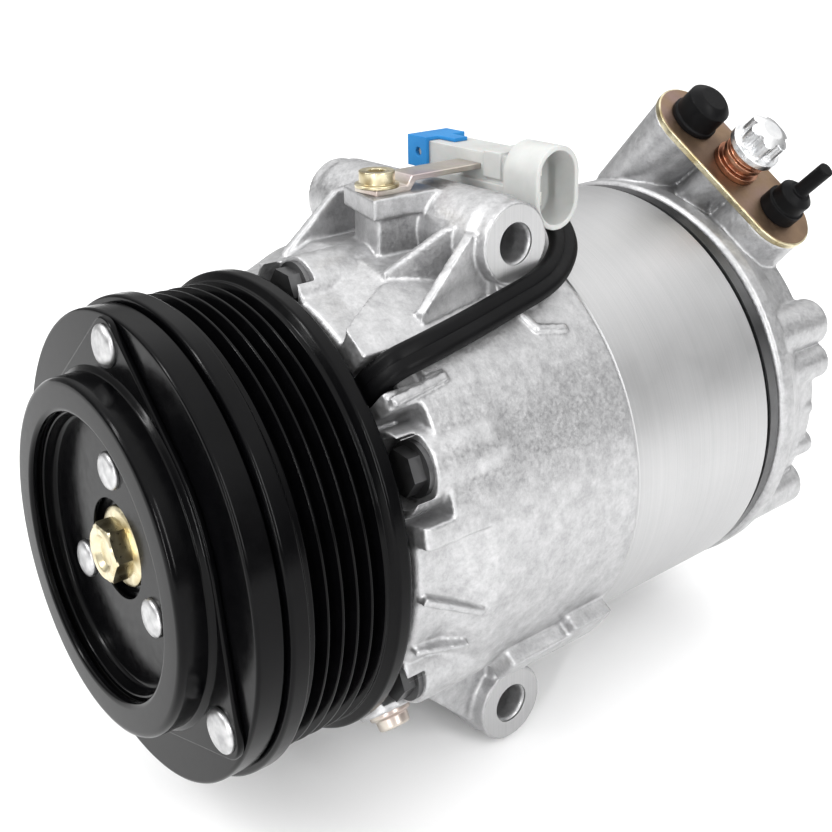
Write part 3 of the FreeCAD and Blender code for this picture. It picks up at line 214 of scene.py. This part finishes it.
MATERIALS = {
    "satin_black_paint": paint("satin_black_paint", (0.0008, 0.0008, 0.001), 0.13, peel=0.06),
    "clutch_steel": plated("clutch_steel", [(0.34, 0.34, 0.345), (0.56, 0.56, 0.56)], 0.34, 420.0),
    "zinc_yellow": plated("zinc_yellow", [(0.26, 0.2, 0.1), (0.66, 0.6, 0.42), (0.44, 0.36, 0.2)],
                          0.26, 160.0),
    "cast_aluminium": cast_metal("cast_aluminium", (0.3, 0.3, 0.305), (0.54, 0.54, 0.545),
                                 0.32, 0.56, 1100.0, 0.12),
    "machined_aluminium": turned_metal("machined_aluminium", (0.38, 0.38, 0.385), (0.54, 0.54, 0.54), 0.44),
    "bearing_steel": plated("bearing_steel", [(0.5, 0.5, 0.52), (0.66, 0.66, 0.67)], 0.18),
    # dark_steel is the valve plate's dark steel, made darker still as painted shade. The through-bolt heads
    # share it, so they look as dark as the deep holes they sit in.
    "dark_steel": plated("dark_steel", [(0.07, 0.07, 0.072), (0.15, 0.15, 0.152)], 0.38),
    "piston_coating": moulded("piston_coating", (0.07, 0.075, 0.075), (0.045, 0.05, 0.05), 0.4),
    "rubber_black": moulded("rubber_black", (0.012, 0.012, 0.012), (0.008, 0.008, 0.008), 0.5),
    "gasket_grey": paint("gasket_grey", (0.03, 0.03, 0.033), 0.45),
    "copper_winding": plated("copper_winding", [(0.42, 0.16, 0.06), (0.62, 0.27, 0.12)], 0.3),
    "plastic_black": moulded("plastic_black", (0.0045, 0.0045, 0.005), (0.003, 0.003, 0.0032), 0.36),
    "plastic_grey": moulded("plastic_grey", (0.46, 0.465, 0.455), (0.38, 0.385, 0.375), 0.38, subsurface=0.1),
    "plastic_blue": moulded("plastic_blue", (0.03, 0.2, 0.46), (0.02, 0.16, 0.4), 0.34),
    "lead_sleeve": moulded("lead_sleeve", (0.003, 0.003, 0.0034), (0.002, 0.002, 0.0022), 0.34),
    "tin_plate": plated("tin_plate", [(0.66, 0.63, 0.56), (0.78, 0.76, 0.7)], 0.25),
    "zinc_pink": plated("zinc_pink", [(0.44, 0.36, 0.33), (0.54, 0.5, 0.44), (0.46, 0.38, 0.4)], 0.3),
    "bronze_plate": plated("bronze_plate", [(0.15, 0.1, 0.07), (0.25, 0.17, 0.11), (0.26, 0.18, 0.16)], 0.4),
    "brass": plated("brass", [(0.28, 0.12, 0.07), (0.62, 0.36, 0.24)], 0.26),
    "zinc_silver": plated("zinc_silver", [(0.66, 0.67, 0.68), (0.84, 0.84, 0.84)], 0.26, 200.0),
}


# --- mesh helpers ---------------------------------------------------------------------------
SMALLEST_ROUNDING = 0.02
NEAR_AXIS = 0.01
MERGE_DISTANCE = 0.0008


def softened(corners, size):
    """Closed outline with rounded corners. A corner's own third number replaces size."""
    points = []
    for i, corner in enumerate(corners):
        here = Vector(corner[:2])
        to_before = Vector(corners[i - 1][:2]) - here
        to_after = Vector(corners[(i + 1) % len(corners)][:2]) - here
        reach = corner[2] if len(corner) > 2 else size
        reach = min(reach, 0.45 * to_before.length, 0.45 * to_after.length)
        if reach < SMALLEST_ROUNDING or here.x < NEAR_AXIS:
            points.append(here)
            continue
        start, end = here + to_before.normalized() * reach, here + to_after.normalized() * reach
        for t in (0, 0.25, 0.5, 0.75, 1):
            points.append(start * (1 - t) ** 2 + here * 2 * t * (1 - t) + end * t ** 2)
    return points


def frame_of(axis):
    """Two unit vectors square to an axis."""
    side = axis.cross(Z if abs(axis.normalized().z) < 0.9 else X).normalized()
    return side, axis.normalized().cross(side)


def turn(bm, corners, base=Vector((0, 0, 0)), axis=Y, steps=96, size=0.3, shape=None):
    """Solid turned about a line from base along axis, from (radius, height) corners.

    shape(angle, radius, height) can give another radius, for hexagons and lobes.
    """
    outline = softened(corners, size)
    side, other = frame_of(axis)
    rings = []
    for step in range(steps):
        angle = 2 * pi * step / steps
        out = side * cos(angle) + other * sin(angle)
        ring = []
        for r, h in outline:
            radius = shape(angle, r, h) if shape else r
            ring.append(bm.verts.new(base + out * radius + axis.normalized() * h))
        rings.append(ring)
    count = len(outline)
    for i, ring in enumerate(rings):
        following = rings[(i + 1) % steps]
        for j in range(count):
            k = (j + 1) % count
            bm.faces.new((ring[j], ring[k], following[k], following[j]))


def hexagon_shape(across_flats, crown, height):
    """Radius rule that turns a round bar into a hexagon with a chamfered crown."""
    def shape(angle, r, h):
        if r < 0.2:
            return r
        flat = across_flats / 2 / cos((angle % (pi / 3)) - pi / 6)
        cone = crown / 2 + (height - h) / tan(radians(30))
        return min(r, flat, cone)
    return shape


def slab(bm, outline, base, u, w, thickness, edge=0.0, segments=3):
    """Straight solid on a flat outline given in the (u, w) plane, with bevelled edges."""
    normal = u.cross(w).normalized()
    low = [bm.verts.new(base + u * a + w * b) for a, b in outline]
    high = [bm.verts.new(v.co + normal * thickness) for v in low]
    count = len(outline)
    faces = [bm.faces.new(low), bm.faces.new(high)]
    for i in range(count):
        j = (i + 1) % count
        faces.append(bm.faces.new((low[i], low[j], high[j], high[i])))
    bmesh.ops.recalc_face_normals(bm, faces=faces)
    if edge > 0:
        edges = {e for f in faces for e in f.edges if e.calc_face_angle(0) > radians(25)}
        bmesh.ops.bevel(bm, geom=list(edges), offset=edge, segments=segments, profile=0.5, affect="EDGES",
                        clamp_overlap=True)


def stadium_outline(half_length, end_r, steps=14):
    """Outline with round ends, its long side along the first axis."""
    reach = half_length - end_r
    points = []
    for side in (1, -1):
        for i in range(steps + 1):
            a = pi * i / steps - pi / 2
            points.append((side * (reach + end_r * cos(a)), side * end_r * sin(a)))
    return points


def to_object(name, bm, sharp=32):
    """Turns a finished millimetre mesh into a scene object in metres."""
    bmesh.ops.remove_doubles(bm, verts=bm.verts, dist=MERGE_DISTANCE)
    bmesh.ops.recalc_face_normals(bm, faces=bm.faces)
    mesh = bpy.data.meshes.new(name)
    bm.to_mesh(mesh)
    bm.free()
    mesh.transform(Matrix.Scale(MM, 4))
    mesh.shade_smooth()
    mesh.set_sharp_from_angle(angle=radians(sharp))
    obj = bpy.data.objects.new(name, mesh)
    bpy.context.scene.collection.objects.link(obj)
    return obj


def settled(obj):
    """Applies an object's modifiers to its mesh."""
    graph = bpy.context.evaluated_depsgraph_get()
    mesh = bpy.data.meshes.new_from_object(obj.evaluated_get(graph))
    obj.modifiers.clear()
    obj.data = mesh
    return obj


def place(obj, node, body=None, hides=True, slot=None, weighted=True):
    """Gives a finished piece its material and its body, looked up from the CAD node that it stands for, and
    hides that node unless hides is off.
    """
    slot = slot or SLOT_OF[node]
    obj.data.materials.clear()
    obj.data.materials.append(MATERIALS[slot])
    if weighted:
        normals = obj.modifiers.new("weighted_normals", "WEIGHTED_NORMAL")
        normals.keep_sharp = True
    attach(obj, body or BODY_OF[node])
    if hides:
        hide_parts(node)
    return obj


def made(name, bm, node, hides=True, slot=None, sharp=32):
    return place(to_object(name, bm, sharp), node, hides=hides, slot=slot)


# --- clutch ---------------------------------------------------------------------------------
RIB_PITCH = 3.56
RIB_COUNT = 5
RIB_CREST_R = 52.5
RIB_ROOT_R = 49.2
RIB_LAND = 0.25                # half of the flat left on a rib's crest
GROOVE_HALF_ANGLE = 20
RIVET_ANGLES = (90, 210, 330)
OUTER_RIVET_CIRCLE_R = 46.4
OUTER_RIVET_HEAD_R = 4.75
OUTER_RIVET_FRONT = -24.9
INNER_RIVET_CIRCLE_R = 18.5
INNER_RIVET_HEAD_R = 4.3
INNER_RIVET_FRONT = -26.1
INNER_RIVET_SEAT = -24.7
FRICTION_BORE_R = 24.6         # bore of the pulley's front face and of the armature
CUP_R = 39.4
CUP_BORE_R = 31.85
CUP_FLANGE = 1.6
CUP_NECK = 1.8                 # where the cup's wall turns in to its front lip
RUBBER_IN_R = 32.4
RUBBER_OUT_R = 37.6
HUB_BORE_R = 11.3
HUB_BOLT_SEAT = -23.6
pulley_low, pulley_high = span("pulley")
armature_low, armature_high = span("armature_plate")
cup_low, cup_high = span("hub_cup")


def make_pulley():
    """Ribbed rim and friction face, with the coil's pocket open to the rear."""
    front, rear, flange = pulley_low.y, pulley_high.y, pulley_high.x
    crest, root = RIB_CREST_R, RIB_ROOT_R
    bearing_r, bearing_front, hub_rear = 26.0, front + 2.2, 8.0
    pocket_in_r, pocket_out_r, pocket_floor = 30.3, 46.6, front + 5.0
    face_r = flange - 0.3
    first = -RIB_PITCH * RIB_COUNT / 2
    half_mouth = RIB_PITCH / 2 - RIB_LAND
    half_root = half_mouth - (crest - root) * tan(radians(GROOVE_HALF_ANGLE))
    outline = [(bearing_r, bearing_front), (FRICTION_BORE_R, bearing_front), (FRICTION_BORE_R, front),
               (face_r, front, 1.0), (face_r, first - 1.9, 0.5), (crest, first - 1.0, 0.3)]
    for i in range(RIB_COUNT):
        middle = first + RIB_PITCH * (i + 0.5)
        outline += [(crest, middle - half_mouth, 0.22), (root, middle - half_root, 0.25),
                    (root, middle + half_root, 0.25), (crest, middle + half_mouth, 0.22)]
    outline += [(crest, -first + 0.7, 0.3), (flange, -first + 1.8, 0.6), (flange, rear - 0.1, 1.1),
                (pocket_out_r, rear), (pocket_out_r, pocket_floor), (pocket_in_r, pocket_floor),
                (pocket_in_r, hub_rear), (bearing_r, hub_rear)]
    bm = bmesh.new()
    turn(bm, outline, steps=224, size=0.3)
    return made("pulley_rim", bm, "pulley")


def make_armature():
    front, rear, r = armature_low.y, armature_high.y, armature_high.x
    bm = bmesh.new()
    outline = [(FRICTION_BORE_R, front), (r, front, 0.9), (r, rear, 0.5), (FRICTION_BORE_R, rear)]
    turn(bm, outline, steps=192)
    return made("armature_disc", bm, "armature_plate")


def hull_outline(circles, steps=64):
    """Outline round a set of (x, z, radius) circles, as a tight band would lie."""
    points = []
    for x, z, r in circles:
        points += [(x + r * cos(2 * pi * i / steps), z + r * sin(2 * pi * i / steps)) for i in range(steps)]
    points.sort()
    chains = []
    for ordered in (points, points[::-1]):
        chain = []
        for p in ordered:
            while len(chain) > 1 and ((chain[-1][0] - chain[-2][0]) * (p[1] - chain[-2][1])
                                      - (chain[-1][1] - chain[-2][1]) * (p[0] - chain[-2][0])) <= 0:
                chain.pop()
            chain.append(p)
        chains += chain[:-1]
    return chains


def make_cup():
    """Deep-drawn cup: its flange swells into a lobe under each outer rivet."""
    front, rear = cup_low.y, cup_high.y
    r, bore, neck = CUP_R, CUP_BORE_R, front + CUP_NECK
    seat = rear - CUP_FLANGE
    foot_r = r + 1.4
    lobe_r, ring_r, inside_r, inside_steps = 6.2, 41.2, 37.8, 96
    bm = bmesh.new()
    profile = [(RUBBER_OUT_R, rear), (RUBBER_OUT_R, neck, 0.3), (bore, neck, 0.3),
               (bore, front + 0.5, 0.4), (bore + 0.8, front, 0.5), (r, front, 1.7),
               (r, seat - 1.0), (foot_r, seat, 0.8), (foot_r, rear)]
    turn(bm, profile, steps=192)
    circle_r = OUTER_RIVET_CIRCLE_R
    lobes = [(circle_r * cos(radians(a)), circle_r * sin(radians(a)), lobe_r) for a in RIVET_ANGLES]
    outline = hull_outline([(0, 0, ring_r)] + lobes, 72)
    turns = [2 * pi * i / inside_steps for i in range(inside_steps)]
    inside = [(inside_r * cos(a), inside_r * sin(a)) for a in turns]
    ring = bmesh.new()
    slab(ring, outline, Vector((0, rear, 0)), X, Z, rear - seat, 0.5)
    flange = to_object("cup_flange", ring)
    hole = bmesh.new()
    slab(hole, inside, Vector((0, rear + 3, 0)), X, Z, 9.0)
    cutter = to_object("cup_cutter", hole)
    cut = flange.modifiers.new("bore", "BOOLEAN")
    cut.operation, cut.object, cut.solver = "DIFFERENCE", cutter, "EXACT"
    settled(flange)
    bpy.data.objects.remove(cutter)
    cup = to_object("clutch_cup", bm)
    place(flange, "hub_cup", hides=False)
    return place(cup, "hub_cup")


def make_rivets(name, node, circle_r, head_r, head_front, seat):
    """Flattened rivet heads, slightly domed with a pressed rim."""
    bm = bmesh.new()
    for angle in RIVET_ANGLES:
        base = polar(circle_r, angle, seat)
        height = seat - head_front
        turn(bm, [(0, -0.3), (head_r, -0.3), (head_r, height * 0.45, 0.5), (head_r * 0.8, height * 0.86, 1.2),
                  (head_r * 0.45, height, 1.5), (0, height)], base, -Y, 48)
    return made(name, bm, node)


def make_hub():
    """Dished inner plate with a low rim round its edge."""
    low, high = span("hub_plate")
    dish, back, rim_r = low.y + 3.4, high.y - 0.3, 31.0
    bm = bmesh.new()
    turn(bm, [(HUB_BORE_R, dish, 0.2), (HUB_BORE_R, back), (RUBBER_IN_R, back), (RUBBER_IN_R, low.y, 0.3),
              (rim_r, low.y, 0.5), (rim_r, dish, 1.6)], steps=160)
    return made("hub_dish", bm, "hub_plate")


def make_damper():
    """Rubber ring bonded between hub plate and cup, sunk a little between its edges."""
    low, high = span("damper_ring")
    edge, sunk = low.y + 0.2, low.y + 0.8
    bm = bmesh.new()
    turn(bm, [(RUBBER_IN_R, edge), (RUBBER_IN_R + 1.0, sunk, 0.5), (RUBBER_OUT_R - 1.0, sunk, 0.5),
              (RUBBER_OUT_R, edge), (RUBBER_OUT_R, high.y - 0.3), (35.0, high.y - 0.9, 1.0),
              (RUBBER_IN_R, high.y)], steps=128)
    return made("damper_rubber", bm, "damper_ring")


def make_hub_bolt():
    """Flange, hexagon with a hollowed crown, and thread."""
    low, high = span("hub_bolt")
    seat = HUB_BOLT_SEAT
    height = seat - low.y
    across_flats, crown_width, corner_r, thread_r = 12.0, 11.4, 7.0, 4.0
    bm = bmesh.new()
    turn(bm, [(0, -1.2), (9.2, -1.2), (9.2, -0.35, 0.3), (8.4, 0.1, 0.3), (6.9, 0.5), (0, 0.5)],
         Vector((0, seat, 0)), -Y, 64, 0.2)
    crown = [(0, height - 1.3), (3.0, height - 1.3, 0.3), (4.3, height, 0.4), (5.6, height, 0.1),
             (corner_r, height - 0.4, 0.05), (corner_r, height - 0.9, 0.05), (corner_r, height - 1.6, 0.05),
             (corner_r, 0.3), (0, 0.3)]
    turn(bm, crown, Vector((0, seat, 0)), -Y, 120, 0.2, hexagon_shape(across_flats, crown_width, height))
    thread = [(0, 0), (thread_r, 0), (thread_r, high.y - seat - 0.8, 0.6), (0, high.y - seat)]
    turn(bm, thread, Vector((0, seat, 0)), Y, 40)
    return made("centre_bolt", bm, "hub_bolt")


make_pulley()
make_armature()
make_cup()
make_hub()
make_damper()
make_rivets("rim_rivets", "outer_rivets", OUTER_RIVET_CIRCLE_R, OUTER_RIVET_HEAD_R, OUTER_RIVET_FRONT,
            armature_low.y - CUP_FLANGE)
make_rivets("hub_rivets", "inner_rivets", INNER_RIVET_CIRCLE_R, INNER_RIVET_HEAD_R, INNER_RIVET_FRONT,
            INNER_RIVET_SEAT)
make_hub_bolt()


# --- castings -------------------------------------------------------------------------------
def cast_skin(name, node, voxel, rounds):
    """Copy of a CAD node with every edge rounded over."""
    bm = bmesh.new()
    bm.from_mesh(frame["nodes"][node].data)
    bm.transform(Matrix.Scale(1 / MM, 4))
    skin = to_object(name, bm)
    remesh = skin.modifiers.new("merge", "REMESH")
    remesh.mode, remesh.voxel_size = "VOXEL", voxel * MM
    soften = skin.modifiers.new("soften", "SMOOTH")
    soften.factor, soften.iterations = 0.5, rounds
    settled(skin)
    skin.data.shade_smooth()
    return place(skin, node, weighted=False)


cast_skin("cast_front_housing", "front_housing", voxel=0.42, rounds=8)
cast_skin("cast_rear_head", "rear_head", voxel=0.45, rounds=6)


def make_boss_faces():
    """Bright machined rings on the four ends of the mounting bosses."""
    end_x, in_r, out_r, sunk, proud = 34.35, 5.0, 9.1, 0.6, 0.22
    mounts = [m for m in frame["record"]["mounts"] if m["name"].startswith("mount_bore")]
    for number, mount in enumerate(mounts):
        centre = Vector(mount["pos_m"]) / MM
        for end in (-1, 1):
            bm = bmesh.new()
            face = Vector((end * end_x, centre.y, centre.z))
            ring = [(in_r, -sunk), (out_r, -sunk), (out_r, proud, 0.1), (in_r, proud, 0.1)]
            turn(bm, ring, face, X * end, 72, 0.1)
            obj = to_object("boss_face_%d_%s" % (number + 1, "left" if end < 0 else "right"), bm)
            place(obj, "front_housing", hides=False, slot="machined_aluminium")


make_boss_faces()


# --- small pieces with softened edges ---------------------------------------------------------
# piece, CAD node, voxel size, rounds of smoothing
SMALL_PIECES = (("port_bolt_head", "port_plate_bolt", 0.16, 2), ("bolt_spacer", "bolt_collar", 0.16, 2),
                ("upper_port_cap", "high_port_plug", 0.2, 4), ("lower_port_cap", "low_port_plug", 0.2, 3),
                ("socket_shell", "connector_body", 0.22, 3), ("socket_clip", "connector_lock", 0.18, 2),
                ("socket_strip", "connector_bracket", 0.18, 2), ("strip_screw", "bracket_screw", 0.16, 2),
                ("relief_valve_body", "relief_valve", 0.2, 2))
for piece_name, piece_node, piece_voxel, piece_rounds in SMALL_PIECES:
    cast_skin(piece_name, piece_node, piece_voxel, piece_rounds)


DRAIN_ANGLE = -52.0
DRAIN_Y = 22.6
DRAIN_SEAT_R = 55.6


def make_drain_plug():
    """Small round-headed plug in its boss."""
    out = polar(1, DRAIN_ANGLE, 0)
    bm = bmesh.new()
    turn(bm, [(0, -1.0), (4.9, -1.0), (4.9, 1.0, 0.4), (3.9, 1.4, 0.3), (3.7, 3.9, 0.7), (2.2, 3.9, 0.2),
              (1.9, 3.1, 0.2), (0, 3.1)], polar(DRAIN_SEAT_R, DRAIN_ANGLE, DRAIN_Y), out, 60)
    return made("oil_plug", bm, "drain_plug")


make_drain_plug()


# --- flat two-core lead -----------------------------------------------------------------------
LEAD_EXIT_ANGLE = 46.5
LEAD_EXIT_Y = 18.2
LEAD_ROUTE = [polar(46.2, LEAD_EXIT_ANGLE, LEAD_EXIT_Y), polar(57.6, LEAD_EXIT_ANGLE, LEAD_EXIT_Y),
              polar(61.4, 47.0, 29.0), polar(61.6, 49.0, 42.0), polar(62.6, 51.0, 54.0),
              polar(64.0, 52.6, 65.5), polar(62.8, 56.6, 75.0), polar(62.6, 63.0, 83.5),
              Vector((17.5, 88.5, 60.8)), Vector((5.5, 86.0, 61.2)), Vector((-3.5, 82.0, 61.0)),
              Vector((-8.5, 79.0, 63.6)), Vector((-10.0, 77.4, 70.0))]


def curve_points(points):
    """Points along the smooth curve that the corner points steer."""
    data = bpy.data.curves.new("lead_route", "CURVE")
    data.dimensions = "3D"
    data.resolution_u = 20
    spline = data.splines.new("NURBS")
    spline.points.add(len(points) - 1)
    for point, corner in zip(spline.points, points):
        point.co = (*corner, 1)
    spline.order_u = 3
    spline.use_endpoint_u = True
    holder = bpy.data.objects.new("lead_route", data)
    bpy.context.scene.collection.objects.link(holder)
    mesh = bpy.data.meshes.new_from_object(holder)
    path = [vertex.co.copy() for vertex in mesh.vertices]
    bpy.data.objects.remove(holder)
    bpy.data.curves.remove(data)
    bpy.data.meshes.remove(mesh)
    return path


def swept(bm, path, section):
    """Sweeps a (across, outward) section along a path, its outward side facing off the shaft.

    Where the path itself points off the shaft, the outward side leans to the front instead.
    """
    steep, lean, eased = 0.75, 0.6, 0.35
    loops = []
    for i, here in enumerate(path):
        along = (path[min(i + 1, len(path) - 1)] - path[max(i - 1, 0)]).normalized()
        out = Vector((here.x, 0, here.z)).normalized()
        if abs(along.dot(out)) > steep:
            out = out * (1 - abs(along.dot(out))) + Y * -lean
        out = (out - along * out.dot(along)).normalized()
        if loops:
            out = out * eased + last_out * (1 - eased)
            out = (out - along * out.dot(along)).normalized()
        last_out = out
        across = along.cross(out)
        loops.append([bm.verts.new(here + across * a + out * b) for a, b in section])
    for first, second in zip(loops, loops[1:]):
        for j in range(len(section)):
            k = (j + 1) % len(section)
            bm.faces.new((first[j], first[k], second[k], second[j]))
    bm.faces.new(loops[0])
    bm.faces.new(loops[-1])


def make_lead():
    """Two cores side by side in one sleeve, with a shallow groove between them on both faces."""
    half, core_r, steps = 1.85, 1.75, 14
    groove_half, groove_edge, groove_floor = 0.5, core_r * 0.94, core_r * 0.8
    section = []
    for side in (1, -1):
        for i in range(steps + 1):
            a = -side * pi / 2 + pi * i / steps
            section.append((side * half + core_r * cos(a), core_r * sin(a)))
        section += [(side * groove_half, side * groove_edge), (0.0, side * groove_floor),
                    (-side * groove_half, side * groove_edge)]
    bm = bmesh.new()
    swept(bm, curve_points(LEAD_ROUTE), section)
    made("flat_lead", bm, "coil_lead", sharp=50)


make_lead()


# --- port plate -------------------------------------------------------------------------------
PORT_ANGLE = radians(44)       # the port face looks up and out by this angle from +X
PORT_SKEW = radians(16.3)      # the plate's long axis leans off the plane square to the shaft
PORT_CENTRE = Vector((25.2, 153.5, 64.0))
PORT_HALF = 28.1
PORT_END_R = 11.2
PORT_FACE_INSET = 0.5


def make_port_plate():
    """Brown passivated face on a bright yellow edge."""
    normal = Vector((cos(PORT_ANGLE), 0, sin(PORT_ANGLE)))
    uphill = Vector((-sin(PORT_ANGLE), 0, cos(PORT_ANGLE)))
    along = uphill * cos(PORT_SKEW) - Y * sin(PORT_SKEW)
    across = normal.cross(along)
    outer = stadium_outline(PORT_HALF, PORT_END_R, 24)
    inner = stadium_outline(PORT_HALF - PORT_FACE_INSET, PORT_END_R - PORT_FACE_INSET, 24)
    edge = bmesh.new()
    slab(edge, outer, PORT_CENTRE - normal * 2.15, along, across, 1.95, 0.35)
    edge_ring = to_object("port_plate_edge", edge)
    face = bmesh.new()
    slab(face, inner, PORT_CENTRE - normal * 0.5, along, across, 0.48, 0.12, 2)
    top = to_object("port_plate_face", face)
    place(edge_ring, "port_plate", hides=False, slot="zinc_yellow")
    place(top, "port_plate")


make_port_plate()


# --- materials of the pieces that keep their CAD shape ----------------------------------------
CAD_SHARP_ANGLE = 28
for node_name, node_object in frame["nodes"].items():
    node_object.data.materials.clear()
    node_object.data.materials.append(MATERIALS[SLOT_OF[node_name]])
    node_object.data.shade_smooth()
    node_object.data.set_sharp_from_angle(angle=radians(CAD_SHARP_ANGLE))


# --- floor, light and camera ----------------------------------------------------------------
def make_stage():
    """Pale floor just under the lowest point."""
    low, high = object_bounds()
    reach, gap = 3.0, 0.0005
    ground = low.z - gap
    corners = [(x * reach, y * reach, ground) for x, y in ((-1, -1), (1, -1), (1, 1), (-1, 1))]
    mesh = bpy.data.meshes.new("floor")
    mesh.from_pydata(corners, [], [(0, 1, 2, 3)])
    floor = bpy.data.objects.new("floor", mesh)
    bpy.context.scene.collection.objects.link(floor)
    n = Nodes("floor_paper")
    n.set(Base_Color=(0.93, 0.93, 0.93, 1), Roughness=0.9)
    mesh.materials.append(n.material)


def make_light(name, place_at, target, size_x, size_y, power):
    data = bpy.data.lights.new(name, "AREA")
    data.shape, data.size, data.size_y, data.energy = "RECTANGLE", size_x, size_y, power
    light = bpy.data.objects.new(name, data)
    light.location = place_at
    light.rotation_euler = (Vector(target) - Vector(place_at)).to_track_quat("-Z", "Y").to_euler()
    bpy.context.scene.collection.objects.link(light)


def make_world():
    """Dim round the sides and bright overhead, like a studio with a large top light."""
    world = bpy.data.worlds.new("studio")
    bpy.context.scene.world = world
    world.use_nodes = True
    tree = world.node_tree
    background = tree.nodes["Background"]
    where = tree.nodes.new("ShaderNodeTexCoord")
    split = tree.nodes.new("ShaderNodeSeparateXYZ")
    ramp = tree.nodes.new("ShaderNodeValToRGB")
    stops = ((0.0, 0.22), (0.22, 0.16), (0.45, 0.42), (0.72, 0.95))     # (height, level)
    elements = ramp.color_ramp.elements
    while len(elements) < len(stops):
        elements.new(0.5)
    for element, (height, level) in zip(elements, stops):
        element.position = height
        element.color = (level, level, level, 1)
    tree.links.new(where.outputs["Generated"], split.inputs["Vector"])
    tree.links.new(split.outputs["Z"], ramp.inputs["Fac"])
    tree.links.new(ramp.outputs["Color"], background.inputs["Color"])
    background.inputs["Strength"].default_value = 1.9


def make_camera():
    """Camera at the angle of view that shows clutch, ports and both mounting bores."""
    data = bpy.data.cameras.new("camera")
    data.sensor_width = 36.0
    data.lens = 52.1
    data.shift_x, data.shift_y = -0.0037, -0.2017
    data.clip_start = 0.01
    camera = bpy.data.objects.new("camera", data)
    stand = Vector((0.2239, -0.12121, 0.13181))
    right = Vector((0.6335, 0.7737, -0.0111))
    up = Vector((-0.1998, 0.1774, 0.9636))
    right.normalize()
    back = right.cross(up).normalized()
    up = back.cross(right)
    turn_matrix = Matrix((right, up, back)).transposed().to_4x4()
    camera.matrix_world = Matrix.Translation(stand) @ turn_matrix
    bpy.context.scene.collection.objects.link(camera)
    bpy.context.scene.camera = camera


make_stage()
make_world()
make_light("key", (-0.35, -0.75, 0.75), (0, 0.03, 0), size_x=0.08, size_y=0.7, power=6.0)
make_light("side", (0.9, 0.05, 0.5), (0, 0.08, 0), size_x=0.12, size_y=0.7, power=4.5)
make_light("front", (0.5, -0.75, 0.25), (0, 0.0, 0), size_x=0.035, size_y=0.5, power=3.5)
make_camera()
bpy.context.scene.view_settings.view_transform = "Standard"
